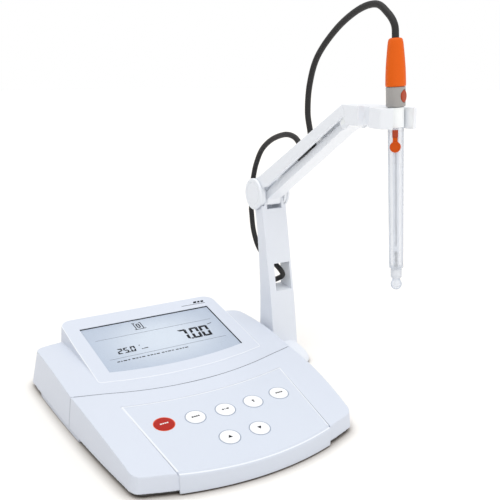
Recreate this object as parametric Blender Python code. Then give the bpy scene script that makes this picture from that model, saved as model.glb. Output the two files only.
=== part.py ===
# Benchtop pH meter with a parallel-link electrode arm.
# +Z is up, +X is the user's right, and the user sits at -Y (the front).
# Dimensions are in millimetres from a datum on the table, in the symmetry plane
# of the meter's case; meshes are built in metres.  The last step moves the
# assembly so that its origin is on the table at the middle of its overall
# length and width.
import math

import bmesh
import bpy
from mathutils import Matrix, Vector

for old_object in list(bpy.data.objects):
    bpy.data.objects.remove(old_object, do_unlink=True)

MM = 0.001
RIGHT, LEFT, BACK, UP = (1, 0, 0), (-1, 0, 0), (0, 1, 0), (0, 0, 1)

# --------------------------------------------------------- driving dimensions
WALL = 2.4                 # thickness of the moulded covers
GAP = 0.3                  # running gap between neighbouring pieces
COVER_BOTTOM = 3.0         # lower edge of the covers above the table

# Bowed edges in plan: (y at x = 0, curve), y = y0 + curve * x^2
SEAM = (-18.9, 0.00218)            # seam between the two covers
FRONT_WALL = (-115.5, 0.00262)
PANEL_FRONT = (-116.8, 0.00262)
PANEL_REAR = (-35.4, 0.00170)
HOUSING_FRONT = (-1.1, 0.00179)
LCD_FRONT = (11.6, 0.00186)
LCD_REAR = (88.3, 0.0)

SEAM_HALF_GAP = 0.22
CORNER_R = 12.0                    # plan radius of the front corners
CORNER_X, CORNER_Y = 72.4, -89.6   # centre of the right front corner
SHOULDER_REAR = 97.0
HOUSING_REAR = 107.0
PANEL_HALF_REAR, PANEL_HALF_FRONT = 65.5, 57.0
LCD_HALF_FRONT, LCD_HALF_REAR = 57.7, 59.5

# Case screws, right-hand side; the left-hand ones mirror them
REAR_BOSS, FRONT_BOSS = (84.0, 82.0), (72.0, -66.0)
SCREW_PLACES = [(side * x, y) for x, y in (REAR_BOSS, FRONT_BOSS) for side in (-1, 1)]

# Arm: pivots are (y, z)
ARM_X0, ARM_X1 = 100.0, 125.0
ARM_WALL = 2.4
EAR_X0, EAR_X1 = ARM_X0 + ARM_WALL + GAP, ARM_X1 - ARM_WALL - GAP
EAR_T = 2.3
POST_HINGE = (69.1, 145.2)         # arm at the post
POST_PIVOT = (65.0, 139.0)         # link bar at the post
HEAD_HINGE = (-47.5, 222.0)        # arm at the head
HEAD_PIVOT = (HEAD_HINGE[0] + POST_PIVOT[0] - POST_HINGE[0],
              HEAD_HINGE[1] + POST_PIVOT[1] - POST_HINGE[1])
HINGE_R = 13.2
CHEEK_R = 7.4                      # rounded ends of the arm's cheeks at the head
THROUGH = 30.0                     # length of a cutter that passes the whole arm width

# Electrode
HOLDER_TOP = Vector((111.0, -96.0, 229.5))            # axis point at the holder top
AXIS = Vector((0.0506, -0.0291, -1.0)).normalized()   # points to the tip


# ------------------------------------------------------------------ materials
def material(name, colour, roughness, metallic=0.0, transmission=0.0):
    mat = bpy.data.materials.new(name)
    mat.use_nodes = True
    shader = mat.node_tree.nodes["Principled BSDF"]
    shader.inputs["Base Color"].default_value = (*colour, 1.0)
    shader.inputs["Roughness"].default_value = roughness
    shader.inputs["Metallic"].default_value = metallic
    shader.inputs["Transmission Weight"].default_value = transmission
    return mat


WHITE = material("case_white", colour=(0.76, 0.79, 0.85), roughness=0.45)
PANEL = material("panel_white", colour=(0.74, 0.78, 0.85), roughness=0.4)
KEY_WHITE = material("key_white", colour=(0.9, 0.9, 0.9), roughness=0.35)
RED = material("key_red", colour=(0.55, 0.04, 0.03), roughness=0.35)
LCD_GREY = material("lcd_grey", colour=(0.58, 0.67, 0.78), roughness=0.2)
CLEAR = material("clear_window", colour=(0.9, 0.93, 0.96), roughness=0.05, transmission=0.8)
RUBBER = material("rubber_dark", colour=(0.05, 0.05, 0.05), roughness=0.7)
STEEL = material("steel", colour=(0.6, 0.6, 0.62), roughness=0.3, metallic=1.0)
BOARD = material("board_green", colour=(0.05, 0.25, 0.12), roughness=0.5)
SILICONE = material("silicone_grey", colour=(0.5, 0.5, 0.5), roughness=0.6)
ORANGE = material("orange", colour=(0.8, 0.16, 0.02), roughness=0.4)
GREY = material("collar_grey", colour=(0.5, 0.49, 0.47), roughness=0.4)
TUBE = material("electrode_body", colour=(0.8, 0.83, 0.88), roughness=0.2)
GLASS = material("bulb_glass", colour=(0.9, 0.93, 0.95), roughness=0.05, transmission=0.7)


# -------------------------------------------------------------------- objects
def shade(mesh, sharp_angle):
    mesh.shade_smooth()
    mesh.set_sharp_from_angle(angle=math.radians(sharp_angle))


def add_piece(name, bm, mat=None, sharp_angle=30.0):
    """Turn a closed bmesh into an object; a sharp angle of None leaves it flat shaded."""
    bmesh.ops.recalc_face_normals(bm, faces=bm.faces[:])
    if bm.calc_volume(signed=True) < 0:
        bmesh.ops.reverse_faces(bm, faces=bm.faces[:])
    mesh = bpy.data.meshes.new(name)
    bm.to_mesh(mesh)
    bm.free()
    piece = bpy.data.objects.new(name, mesh)
    bpy.context.scene.collection.objects.link(piece)
    if mat:
        mesh.materials.append(mat)
    if sharp_angle is not None:
        shade(mesh, sharp_angle)
    return piece


def combine(piece, tool_bm, operation):
    """Apply a boolean with a throw-away solid."""
    tool = add_piece("tool", tool_bm)
    modifier = piece.modifiers.new(operation.lower(), 'BOOLEAN')
    modifier.operation = operation
    modifier.object = tool
    bpy.context.view_layer.update()
    graph = bpy.context.evaluated_depsgraph_get()
    result = bpy.data.meshes.new_from_object(piece.evaluated_get(graph))
    piece.modifiers.clear()
    replaced = piece.data
    mat = replaced.materials[0]
    piece.data = result
    result.materials.clear()
    result.materials.append(mat)
    for polygon in result.polygons:
        polygon.material_index = 0
    bpy.data.meshes.remove(replaced)
    bpy.data.objects.remove(tool, do_unlink=True)
    result.name = piece.name
    shade(result, 30)


def cut(piece, tool_bm):
    combine(piece, tool_bm, 'DIFFERENCE')


def join(piece, tool_bm):
    combine(piece, tool_bm, 'UNION')


def set_origin(piece, point):
    """Put the object's origin on its joint axis without moving the mesh."""
    origin = Vector(point) * MM
    piece.data.transform(Matrix.Translation(-origin))
    piece.location = origin


# --------------------------------------------------------------------- solids
# Each of these returns a closed bmesh.
def loft(rings):
    """Skin equal rings of points and close both ends."""
    bm = bmesh.new()
    loops = [[bm.verts.new([c * MM for c in point]) for point in ring] for ring in rings]
    bm.faces.new(loops[0])
    bm.faces.new(loops[-1])
    count = len(loops[0])
    for a, b in zip(loops, loops[1:]):
        for i in range(count):
            j = (i + 1) % count
            bm.faces.new((a[i], a[j], b[j], b[i]))
    return bm


def prism_x(outline, x0, x1):
    """Prism along x from a (y, z) outline."""
    return loft([[(x, y, z) for y, z in outline] for x in (x0, x1)])


def prism_z(outline, z0, z1):
    """Prism along z from an (x, y) outline."""
    return loft([[(x, y, z) for x, y in outline] for z in (z0, z1)])


def rect(x0, x1, y0, y1):
    return [(x0, y0), (x1, y0), (x1, y1), (x0, y1)]


def box(x0, x1, y0, y1, z0, z1):
    return prism_z(rect(x0, x1, y0, y1), z0, z1)


def oriented_box(origin, axes, ranges):
    """Box with its own axes; ranges are (low, high) along each of them."""
    xs, ys, zs = ranges
    return loft([[origin + axes[0] * x + axes[1] * y + axes[2] * z for x, y in rect(*xs, *ys)]
                 for z in zs])


def slab(outline, lower, upper, plane):
    """Thin plate between two offsets from a tilted plane."""
    return loft([[(x, y, plane(y) + offset) for x, y in outline] for offset in (lower, upper)])


def turned(origin, direction, profile, facets):
    """Solid of revolution from (along, radius) points.

    The profile starts and ends on the axis, or stays clear of it and is closed into a ring.
    """
    axis = Vector(direction).normalized()
    reference = Vector((0, 0, 1)) if abs(axis.z) < 0.9 else Vector((1, 0, 0))
    side = axis.cross(reference).normalized()
    other = axis.cross(side).normalized()
    base = Vector(origin)
    angles = [2 * math.pi * k / facets for k in range(facets)]
    bm = bmesh.new()
    rings = []
    for along, radius in profile:
        centre = base + axis * along
        if radius == 0:
            rings.append([bm.verts.new(centre * MM)])
        else:
            rings.append([bm.verts.new(
                (centre + (side * math.cos(t) + other * math.sin(t)) * radius) * MM)
                for t in angles])
    if profile[0][1] > 0:
        rings.append(rings[0])
    for a, b in zip(rings, rings[1:]):
        for i in range(facets):
            j = (i + 1) % facets
            if len(a) == 1:
                bm.faces.new((a[0], b[i], b[j]))
            elif len(b) == 1:
                bm.faces.new((a[i], a[j], b[0]))
            else:
                bm.faces.new((a[i], a[j], b[j], b[i]))
    return bm


def cylinder(origin, direction, length, radius, facets):
    return turned(origin, direction, [(0, 0), (0, radius), (length, radius), (length, 0)], facets)


def cross_pin(x0, pivot, length, radius, facets):
    """Cylinder along +x, centred on a (y, z) pivot."""
    return cylinder((x0, *pivot), RIGHT, length, radius, facets)


def sweep(points, radius, facets=6):
    """Round cable along a list of points, with flat closed ends."""
    points = [Vector(p) for p in points]
    last = len(points) - 1
    tangents = [(points[min(i + 1, last)] - points[max(i - 1, 0)]).normalized()
                for i in range(last + 1)]
    first = tangents[0]
    reference = Vector((1, 0, 0)) if abs(first.x) < 0.9 else Vector((0, 1, 0))
    side = (reference - first * reference.dot(first)).normalized()
    angles = [2 * math.pi * k / facets for k in range(facets)]
    rings = []
    for point, tangent in zip(points, tangents):
        side = (side - tangent * side.dot(tangent)).normalized()
        other = tangent.cross(side)
        rings.append([point + (side * math.cos(a) + other * math.sin(a)) * radius
                      for a in angles])
    return loft(rings)


def grid_solid(top_rows, bottom_rows):
    """Closed solid between an upper and a lower grid of the same size."""
    bm = bmesh.new()
    top = [[bm.verts.new([c * MM for c in p]) for p in row] for row in top_rows]
    low = [[bm.verts.new([c * MM for c in p]) for p in row] for row in bottom_rows]
    rows, columns = len(top), len(top[0])
    for j in range(rows - 1):
        for i in range(columns - 1):
            bm.faces.new((top[j][i], top[j][i + 1], top[j + 1][i + 1], top[j + 1][i]))
            bm.faces.new((low[j][i], low[j + 1][i], low[j + 1][i + 1], low[j][i + 1]))
    for i in range(columns - 1):
        bm.faces.new((top[0][i], low[0][i], low[0][i + 1], top[0][i + 1]))
        bm.faces.new((top[-1][i], top[-1][i + 1], low[-1][i + 1], low[-1][i]))
    for j in range(rows - 1):
        bm.faces.new((top[j][0], top[j + 1][0], low[j + 1][0], low[j][0]))
        bm.faces.new((top[j][-1], low[j][-1], low[j + 1][-1], top[j + 1][-1]))
    bmesh.ops.triangulate(bm, faces=bm.faces[:])
    return bm


# --------------------------------------------------------- curves and outlines
def arc(centre, radius, start, end, steps):
    """Points on an arc in the (y, z) plane; angles in degrees from +y towards +z."""
    angles = [math.radians(start + (end - start) * k / steps) for k in range(steps + 1)]
    return [(centre[0] + radius * math.cos(a), centre[1] + radius * math.sin(a)) for a in angles]


def catmull(control, steps):
    """Catmull-Rom curve through the control points, with so many steps per span."""
    knots = [Vector(p) for p in control]
    knots = [knots[0] * 2 - knots[1]] + knots + [knots[-1] * 2 - knots[-2]]
    curve = []
    for i in range(1, len(knots) - 2):
        p0, p1, p2, p3 = knots[i - 1:i + 3]
        for k in range(steps):
            t = k / steps
            curve.append(0.5 * ((2 * p1) + (p2 - p0) * t
                                + (2 * p0 - 5 * p1 + 4 * p2 - p3) * t * t
                                + (3 * p1 - p0 - 3 * p2 + p3) * t ** 3))
    curve.append(knots[-2])
    return curve


def bowed(edge, x):
    return edge[0] + edge[1] * x * x


EDGE_STEPS = 8             # segments along a bowed edge


def across(half, steps=EDGE_STEPS):
    """Stations of x from -half to +half."""
    return [-half + 2 * half * k / steps for k in range(steps + 1)]


def bowed_outline(front_edge, rear_edge, half_front, half_rear, grow=0.0):
    """Plan outline with a bowed front, straight sides and a bowed or straight rear."""
    rear_steps = EDGE_STEPS if rear_edge[1] else 1
    return ([(x, bowed(front_edge, x) - grow) for x in across(half_front + grow)]
            + [(-x, bowed(rear_edge, x) + grow) for x in across(half_rear + grow, rear_steps)])


# ------------------------------------------------------------------ case form
FRONT_FLAT_HALF = 64.0     # half widths of the flat middles of the cover tops
APRON_FLAT_HALF = 45.0
SHOULDER_FLAT_HALF = 72.0
APRON_REAR = 8.0           # y where the rear cover's apron gives way to its shoulders
SHOULDER_CROWN = 1.3       # rise of the shoulders above the side edge


def side_half(y):
    """Half width of the case at its top side edge."""
    t = y / 100.0
    return 93.0 + 5.637 * t - 4.103 * t * t + 0.428 * t ** 3


def draft(y):
    """Outward spread of the side wall from its top edge to its lower edge."""
    return 2.4 + 0.0255 * y + 0.0001115 * y * y


def side_z(y):
    """Height of the top side edge."""
    t = y / 100.0
    return 27.26 + (12.45 * t - 11.23 * t * t if y >= 0 else 1.38 * t - 11.84 * t * t)


def key_plane(y):
    return 29.06 + 0.1383 * y


def display_plane(y):
    return 28.26 + 0.1502 * y


def ease_to_side(x, y, middle_z, flat_half):
    """Height that leaves the flat middle smoothly and meets the side edge."""
    t = (abs(x) - flat_half) / (side_half(y) - flat_half)
    t = min(max(t, 0.0), 1.0)
    weight = t * t * (3 - 2 * t)
    return middle_z * (1 - weight) + side_z(y) * weight


def front_top(x, y):
    return ease_to_side(x, y, key_plane(y), FRONT_FLAT_HALF)


def rear_top(x, y):
    if y < APRON_REAR:
        return ease_to_side(x, y, 27.14 + 0.04 * y, APRON_FLAT_HALF)
    return ease_to_side(x, y, side_z(y) + SHOULDER_CROWN, SHOULDER_FLAT_HALF)


def front_half(y, inset):
    """Half width of the front cover, with the rounded front corners."""
    if y >= CORNER_Y:
        return side_half(y) - inset
    radius = CORNER_R - inset
    return CORNER_X + math.sqrt(max(radius * radius - (y - CORNER_Y) ** 2, 0.0))


def cover_form(stations, columns, row_y, half_width, start_half, top_z, z_bottom,
               flare_power, lean):
    """Cover body on a grid: stations run front (0) to rear (1), columns -1 to 1.

    The lower grid flares out at the sides, and lean(station) moves it along y.
    """
    top, bottom = [], []
    for station in stations:
        # the end of a bowed row lies on the side edge: damped fixed-point search
        half = start_half
        for _ in range(60):
            half = 0.5 * half + 0.5 * half_width(row_y(half, station))
        top_row, bottom_row = [], []
        for column in columns:
            x = column * half
            y = row_y(x, station)
            z = top_z(x, y)
            depth = (z - z_bottom) / (side_z(y) - COVER_BOTTOM)
            flare = draft(y) * abs(column) ** flare_power * depth
            top_row.append((x, y, z))
            bottom_row.append((x + math.copysign(flare, x), y + lean(station) * depth, z_bottom))
        top.append(top_row)
        bottom.append(bottom_row)
    return grid_solid(top, bottom)


FRONT_STATIONS = [0.0, 0.012, 0.04, 0.08, 0.13, 0.3, 0.5, 0.7, 0.85, 1.0]
FRONT_COLUMNS = [-1.0, -0.93, -0.8, -0.55, -0.28, 0.0, 0.28, 0.55, 0.8, 0.93, 1.0]
FRONT_LEAN, FRONT_LEAN_END = 0.8, 0.13     # lean of the front wall, fading out by a station


def front_form(inset, top_drop, z_bottom, rear_shift):
    """Outer form of the front cover, or its cavity when inset is positive."""
    return cover_form(
        FRONT_STATIONS, FRONT_COLUMNS,
        row_y=lambda x, v: ((1 - v) * (bowed(FRONT_WALL, x) + inset)
                            + v * (bowed(SEAM, x) + rear_shift)),
        half_width=lambda y: front_half(y, inset),
        start_half=78.0,
        top_z=lambda x, y: front_top(x, y) - top_drop,
        z_bottom=z_bottom,
        flare_power=8,
        lean=lambda v: -FRONT_LEAN * max(0.0, 1 - v / FRONT_LEAN_END))


REAR_STATIONS = [0.0, 0.1, 0.22, 0.4, 0.6, 0.8, 1.0]
REAR_COLUMNS = [-1.0, -0.93, -0.86, -0.77, -0.5, -0.25, 0.0,
                0.25, 0.5, 0.77, 0.86, 0.93, 1.0]
REAR_LEAN = 2.0                            # lean of the shoulders' rear wall


def rear_form(inset, z_bottom, front_shift):
    """Apron and shoulders of the rear cover, or their cavity."""
    return cover_form(
        REAR_STATIONS, REAR_COLUMNS,
        row_y=lambda x, v: ((1 - v) * (bowed(SEAM, x) + front_shift)
                            + v * (SHOULDER_REAR - inset)),
        half_width=lambda y: side_half(y) - inset,
        start_half=90.0,
        top_z=lambda x, y: rear_top(x, y) - inset,
        z_bottom=z_bottom,
        flare_power=10,
        lean=lambda v: REAR_LEAN if v == 1.0 else 0.0)


HOUSING_HALF_FRONT, HOUSING_HALF_REAR = 69.8, 71.6
HOUSING_CORNER_Y = 7.6     # y of the front corners
HOUSING_TAPER_RUN = 99.2   # length over which the half width grows
HOUSING_SIDE_DRAFT, HOUSING_REAR_DRAFT = 0.085, 0.05   # per unit of depth


def housing_form(inset, z_bottom):
    """Display housing: tilted flat top and drafted walls, or its cavity."""
    taper = (HOUSING_HALF_REAR - HOUSING_HALF_FRONT) / HOUSING_TAPER_RUN
    top, bottom = [], []
    for station in (0.0, 0.5, 1.0):
        run = station * (HOUSING_REAR - HOUSING_CORNER_Y)
        half = HOUSING_HALF_FRONT + taper * run - inset
        top_row, bottom_row = [], []
        for column in (-1.0, -0.66, -0.33, 0.0, 0.33, 0.66, 1.0):
            x = column * half
            y = ((1 - station) * (bowed(HOUSING_FRONT, x) + inset)
                 + station * (HOUSING_REAR - inset))
            z = display_plane(y) - inset
            depth = z - z_bottom
            flare = HOUSING_SIDE_DRAFT * depth if abs(column) == 1.0 else 0.0
            lean = HOUSING_REAR_DRAFT * depth if station == 1.0 else 0.0
            top_row.append((x, y, z))
            bottom_row.append((x + math.copysign(flare, x), y + lean, z_bottom))
        top.append(top_row)
        bottom.append(bottom_row)
    return grid_solid(top, bottom)


def add_bosses(cover, place, height, hole_depth):
    """Screw boss with a blind hole on each side of the case."""
    x, y = place
    for side in (-1, 1):
        join(cover, cylinder((side * x, y, 7.0), UP, height, 4.0, 10))
        cut(cover, cylinder((side * x, y, 6.0), UP, hole_depth, 1.7, 8))


# ----------------------------------------------------------------- rear cover
SOCKET_Z = 21.0
BNC_X, TEMP_X, POWER_X = 48.0, 18.0, -42.0
SOCKET_HOLES = [(BNC_X, 5.3), (TEMP_X, 4.6), (POWER_X, 4.6)]     # x, radius

rear_cover = add_piece("rear_cover", rear_form(0.0, COVER_BOTTOM, SEAM_HALF_GAP), WHITE)
join(rear_cover, housing_form(0.0, COVER_BOTTOM))
cut(rear_cover, rear_form(WALL, COVER_BOTTOM - 1.0, -1.5))
cut(rear_cover, housing_form(WALL, COVER_BOTTOM - 1.2))
cut(rear_cover, prism_z(bowed_outline(LCD_FRONT, LCD_REAR, LCD_HALF_FRONT, LCD_HALF_REAR),
                        18.0, 60.0))
for hole_x, hole_r in SOCKET_HOLES:
    cut(rear_cover, cylinder((hole_x, 98, SOCKET_Z), BACK, 20, hole_r, 14))
add_bosses(rear_cover, REAR_BOSS, height=22.5, hole_depth=12.0)

# ---------------------------------------------------------------- front cover
front_cover = add_piece("front_cover", front_form(0.0, 0.0, COVER_BOTTOM, -SEAM_HALF_GAP), WHITE)
cut(front_cover, front_form(WALL, 3.4, COVER_BOTTOM - 1.0, 1.5))
add_bosses(front_cover, FRONT_BOSS, height=11.5, hole_depth=9.0)
# shallow pocket for the keypad panel, run out past the front wall
pocket_front = (PANEL_FRONT[0] - 3.0, PANEL_FRONT[1])
cut(front_cover, slab(bowed_outline(pocket_front, PANEL_REAR, PANEL_HALF_FRONT,
                                    PANEL_HALF_REAR, GAP), -1.4, 4.0, key_plane))
# opening below the keys
cut(front_cover, slab(rect(-56, 56, -99, -49), -8.0, 2.0, key_plane))

# --------------------------------------------------------------- keypad panel
KEY_R = 7.0
KEY_NORMAL = Vector((0.0, -0.1383, 1.0)).normalized()            # of the key plane
KEYS = [  # name, x, y
    ("key_red", -45.85, -58.4), ("key_mode", -23.0, -59.9), ("key_range", 0.0, -60.5),
    ("key_store", 23.0, -59.9), ("key_enter", 45.85, -58.4),
    ("key_up", -11.6, -88.8), ("key_down", 11.6, -88.8)]
KEY_CENTRES = [(name, Vector((x, y, key_plane(y)))) for name, x, y in KEYS]
APRON_THICKNESS = 0.45

keypad_panel = add_piece(
    "keypad_panel",
    slab(bowed_outline(PANEL_FRONT, PANEL_REAR, PANEL_HALF_FRONT, PANEL_HALF_REAR),
         -1.0, 0.35, key_plane), PANEL)
# thin apron that folds down over the front wall
apron = ([(x, bowed(PANEL_FRONT, x)) for x in across(PANEL_HALF_FRONT)]
         + [(-x, bowed(PANEL_FRONT, x) + APRON_THICKNESS) for x in across(PANEL_HALF_FRONT)])
join(keypad_panel, loft([[(x, y - 0.8, 1.0) for x, y in apron],
                         [(x, y + 0.15, key_plane(y) - 0.2) for x, y in apron]]))
for _, centre in KEY_CENTRES:
    cut(keypad_panel, cylinder(centre - KEY_NORMAL * 6, KEY_NORMAL, 12.0, KEY_R + GAP, 16))

# ----------------------------------------------------------------------- keys
# shallow domed caps on a stem, sliding along the panel's normal
KEY_PROFILE = [(-3.6, 0), (-3.6, 3.2), (-1.2, 3.4), (-1.2, KEY_R), (0.55, KEY_R),
               (0.8, KEY_R - 0.5), (0.95, KEY_R * 0.5), (1.0, 0)]

for name, centre in KEY_CENTRES:
    key = add_piece(name, turned(centre, KEY_NORMAL, KEY_PROFILE, 16),
                    RED if name == "key_red" else KEY_WHITE)
    set_origin(key, centre)

# mat with a stud under each key, and the board below it
key_mat = add_piece("key_mat", slab(rect(-55, 55, -98, -50), -6.0, -5.0, key_plane), SILICONE)
for _, centre in KEY_CENTRES:
    join(key_mat, cylinder(centre - KEY_NORMAL * 5.4, KEY_NORMAL, 0.9, 2.8, 8))
add_piece("key_board", slab(rect(-54, 54, -97, -51), -8.0, -6.4, key_plane), BOARD)

# --------------------------------------------------------------- display unit
add_piece("display_window",
          slab(bowed_outline(LCD_FRONT, LCD_REAR, LCD_HALF_FRONT, LCD_HALF_REAR, -GAP),
               -2.2, -0.9, display_plane), CLEAR)
add_piece("lcd_module", slab(rect(-61, 61, 15, 91), -6.8, -2.8, display_plane), LCD_GREY)
add_piece("lcd_board", slab(rect(-60, 60, 20, 90), -9.0, -7.4, display_plane), BOARD)

# ---------------------------------------------------------------- bottom case
PLATE_Z0, PLATE_Z1 = 2.2, 4.2
PLATE_INSET = 4.4          # from the covers' lower edge
PLATE_REAR = SHOULDER_REAR - 4.5
PLATE_STATIONS = [PLATE_REAR, 60.0, 30.0, 0.0, -30.0, -60.0, -88.0]
PLATE_FRONT = [(74.0, -98.0), (50.0, -106.0), (25.0, -110.5)]    # right half, (x, y)
TONGUE_HALF, TONGUE_REAR = 67.0, 104.0
STRIP_INNER, STRIP_INSET = 84.0, 0.35
STRIP_Z0, STRIP_Z1 = 0.35, 2.65
BRACKET_X0, BRACKET_X1 = 64.0, 122.0
BRACKET_Y0, BRACKET_Y1 = 34.0, 60.0
BRACKET_HOLES_X = (72.0, 112.5)    # in the case, in the post
BRACKET_HOLES_Y = (40.0, 54.0)


def low_half(y, inset):
    """Half width at the covers' lower edge, less an inset."""
    return side_half(y) + draft(y) - inset


def side_strip(side, stations):
    outer = [(side * low_half(y, STRIP_INSET), y) for y in stations]
    outline = [(side * STRIP_INNER, stations[0])] + outer + [(side * STRIP_INNER, stations[-1])]
    return prism_z(outline, STRIP_Z0, STRIP_Z1)


plate_right = [(low_half(y, PLATE_INSET), y) for y in PLATE_STATIONS] + PLATE_FRONT
plate_left = [(-x, y) for x, y in reversed(plate_right)]
tongue = [(-TONGUE_HALF, PLATE_REAR), (-TONGUE_HALF, TONGUE_REAR),
          (TONGUE_HALF, TONGUE_REAR), (TONGUE_HALF, PLATE_REAR)]
bottom_case = add_piece("bottom_case",
                        prism_z(plate_right + plate_left + tongue, PLATE_Z0, PLATE_Z1), WHITE)
# the strip on the right is broken where the arm bracket passes
for y0, y1 in ((-17.0, 32.0), (62.0, 66.0)):
    join(bottom_case, side_strip(1, (y0, (y0 + y1) / 2, y1)))
join(bottom_case, side_strip(-1, (66.0, 40.0, 10.0, -17.0)))
for x, y in ((-60, 25), (60, 25), (-60, 85), (60, 85)):
    join(bottom_case, cylinder((x, y, 3.5), UP, 4.0, 3.0, 10))
for x, y in SCREW_PLACES:
    cut(bottom_case, cylinder((x, y, 1.0), UP, 5.0, 1.8, 8))
for y in BRACKET_HOLES_Y:
    cut(bottom_case, cylinder((BRACKET_HOLES_X[0], y, 1.0), UP, 6.0, 1.5, 8))

FEET = [  # name, x, y
    ("foot_front_left", -58.0, -88.0), ("foot_front_right", 58.0, -88.0),
    ("foot_rear_left", -66.0, 76.0), ("foot_rear_right", 66.0, 76.0)]
FOOT_PROFILE = [(0, 0), (0, 5.4), (0.6, 6.0), (1.9, 6.0), (1.9, 0)]
for name, x, y in FEET:
    add_piece(name, turned((x, y, 0.0), UP, FOOT_PROFILE, 12), RUBBER)

CASE_SCREW_PROFILE = [(0, 0), (0, 3.0), (1.4, 3.0), (1.4, 1.35), (11.0, 1.35), (12.0, 0.0)]
for number, (x, y) in enumerate(SCREW_PLACES, 1):
    add_piece(f"case_screw_{number}", turned((x, y, 0.5), UP, CASE_SCREW_PROFILE, 8), STEEL)

# ----------------------------------------------------- main board and ribbon
BOARD_TOP = 9.6
COMPONENTS = [  # x0, x1, y0, y1, height of the blocks on the board
    (-30, -6, 40, 64, 2.2), (10, 22, 30, 52, 2.0),
    (30, 52, 60, 76, 6.0), (-56, -40, 30, 48, 8.0)]

main_board = add_piece("main_board", box(-64, 64, 18, 92, 8.0, BOARD_TOP), BOARD)
for x0, x1, y0, y1, height in COMPONENTS:
    join(main_board, box(x0, x1, y0, y1, 9.0, BOARD_TOP + height))

RIBBON_HALF, RIBBON_THICKNESS = 11, 0.5
RIBBON_SECTION = [(-RIBBON_HALF, 0.0), (RIBBON_HALF, 0.0),
                  (RIBBON_HALF, RIBBON_THICKNESS), (-RIBBON_HALF, RIBBON_THICKNESS)]
ribbon_path = catmull([(0, -50.2, 13.9), (0, -44, 12.4), (0, -20, 9.4), (0, 4, 9.8),
                       (0, 20, 10.9)], 4)
add_piece("ribbon_cable",
          loft([[(x, p.y, p.z + rise) for x, rise in RIBBON_SECTION] for p in ribbon_path]),
          SILICONE)

# ----------------------------------------------------------------- connectors
# y of the housing's drafted rear wall at socket height
REAR_WALL_Y = HOUSING_REAR + HOUSING_REAR_DRAFT * (display_plane(HOUSING_REAR) - SOCKET_Z)
SOCKETS = [  # name, x, depth of the inner end, profile, facets, material
    ("bnc_socket", BNC_X, 9,
     [(0, 0), (0, 4.9), (6.0, 4.9), (9.4, 4.9), (9.4, 7.2), (11.2, 7.2), (11.2, 4.6),
      (15.0, 4.6), (15.0, 3.9), (12.0, 3.9), (12.0, 0)], 14, STEEL),
    ("temp_socket", TEMP_X, 8,
     [(0, 0), (0, 4.2), (8.4, 4.2), (8.4, 6.4), (9.8, 6.4), (9.8, 4.1), (13.5, 4.1),
      (13.5, 2.2), (9.0, 2.2), (9.0, 0)], 12, STEEL),
    ("power_socket", POWER_X, 8,
     [(0, 0), (0, 4.2), (8.4, 4.2), (8.4, 6.0), (9.4, 6.0), (9.4, 3.0), (3.0, 3.0),
      (3.0, 0.0)], 12, RUBBER)]
for name, x, depth, profile, facets, mat in SOCKETS:
    add_piece(name, turned((x, REAR_WALL_Y - depth, SOCKET_Z), BACK, profile, facets), mat)

# plug of the electrode lead: core, then the bayonet ring that turns on it
PLUG_PROFILE = [(0, 0), (0, 3.4), (8.0, 3.4), (8.0, 4.6), (17.0, 4.6), (17.0, 5.6),
                (19.0, 5.6), (27.0, 3.9), (34.0, 3.2), (34.0, 0)]
RING_PROFILE = [(0, 5.2), (0, 6.9), (13.5, 6.9), (13.5, 4.95), (6.0, 4.95), (6.0, 5.2)]
RIB_OFFSET = 6.6           # of the two grip ribs from the ring's axis
RING_ORIGIN = (BNC_X, REAR_WALL_Y + 2.6, SOCKET_Z)

add_piece("bnc_plug", turned((BNC_X, REAR_WALL_Y + 3.4, SOCKET_Z), BACK, PLUG_PROFILE, 12), STEEL)
bnc_ring = add_piece("bnc_ring", turned(RING_ORIGIN, BACK, RING_PROFILE, 14), STEEL)
for angle in (0.0, math.pi):
    rib_start = (BNC_X + RIB_OFFSET * math.cos(angle), REAR_WALL_Y + 9.0,
                 SOCKET_Z + RIB_OFFSET * math.sin(angle))
    join(bnc_ring, cylinder(rib_start, BACK, 6.6, 1.0, 8))
set_origin(bnc_ring, RING_ORIGIN)

# ----------------------------------------------------------------------- post
# (y, z) side outline: up the front edge, over the top, down the back edge
POST_OUTLINE = [
    (35.0, 9.0), (35.4, 14.0), (36.9, 26.0), (38.4, 36.0), (41.3, 54.0), (44.9, 72.0),
    (48.3, 89.0), (53.4, 115.5), (56.6, 131.0),
    (57.3, 136.0), (70.6, 136.0),
    (69.6, 131.0), (65.9, 113.0), (62.6, 86.0), (61.0, 67.3), (60.2, 48.4), (60.0, 26.4),
    (60.4, 9.0)]
POST_EAR = ([(56.4, 130.0), (57.3, 136.0), (58.6, 145.0)]
            + arc(POST_HINGE, 10.9, 165, 0, 8) + [(78.0, 137.0), (70.0, 130.0)])
POST_EAR_SLOT = [(50.0, 132.8), (59.5, 132.8), (60.5, 131.0), (72.5, 131.0), (72.5, 165.0),
                 (50.0, 165.0)]
LEAD_WINDOW = [(40.0, 60.6), (75.0, 62.6), (75.0, 86.6), (40.0, 84.6)]
HINGE_BORE_R = 2.3

# foot pad in plan: a half ellipse at the front, straight sides, chamfered rear
PAD_X, PAD_FRONT_Y = 114.2, 24.8           # centre of the half ellipse
PAD_HALF_X, PAD_HALF_Y = 13.9, 14.2
PAD_LEFT = 100.3
PAD_SHRINK_Y = 47.0                        # the pad shrinks towards this y
PAD_REAR_SHRINK = 0.6                      # share of the shrinking behind it
PAD_LEVELS = [  # z, scale
    (0.5, 0.985), (2.2, 1.0), (4.2, 0.985), (7.0, 0.90), (9.5, 0.76), (12.0, 0.58),
    (14.0, 0.40)]


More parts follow.
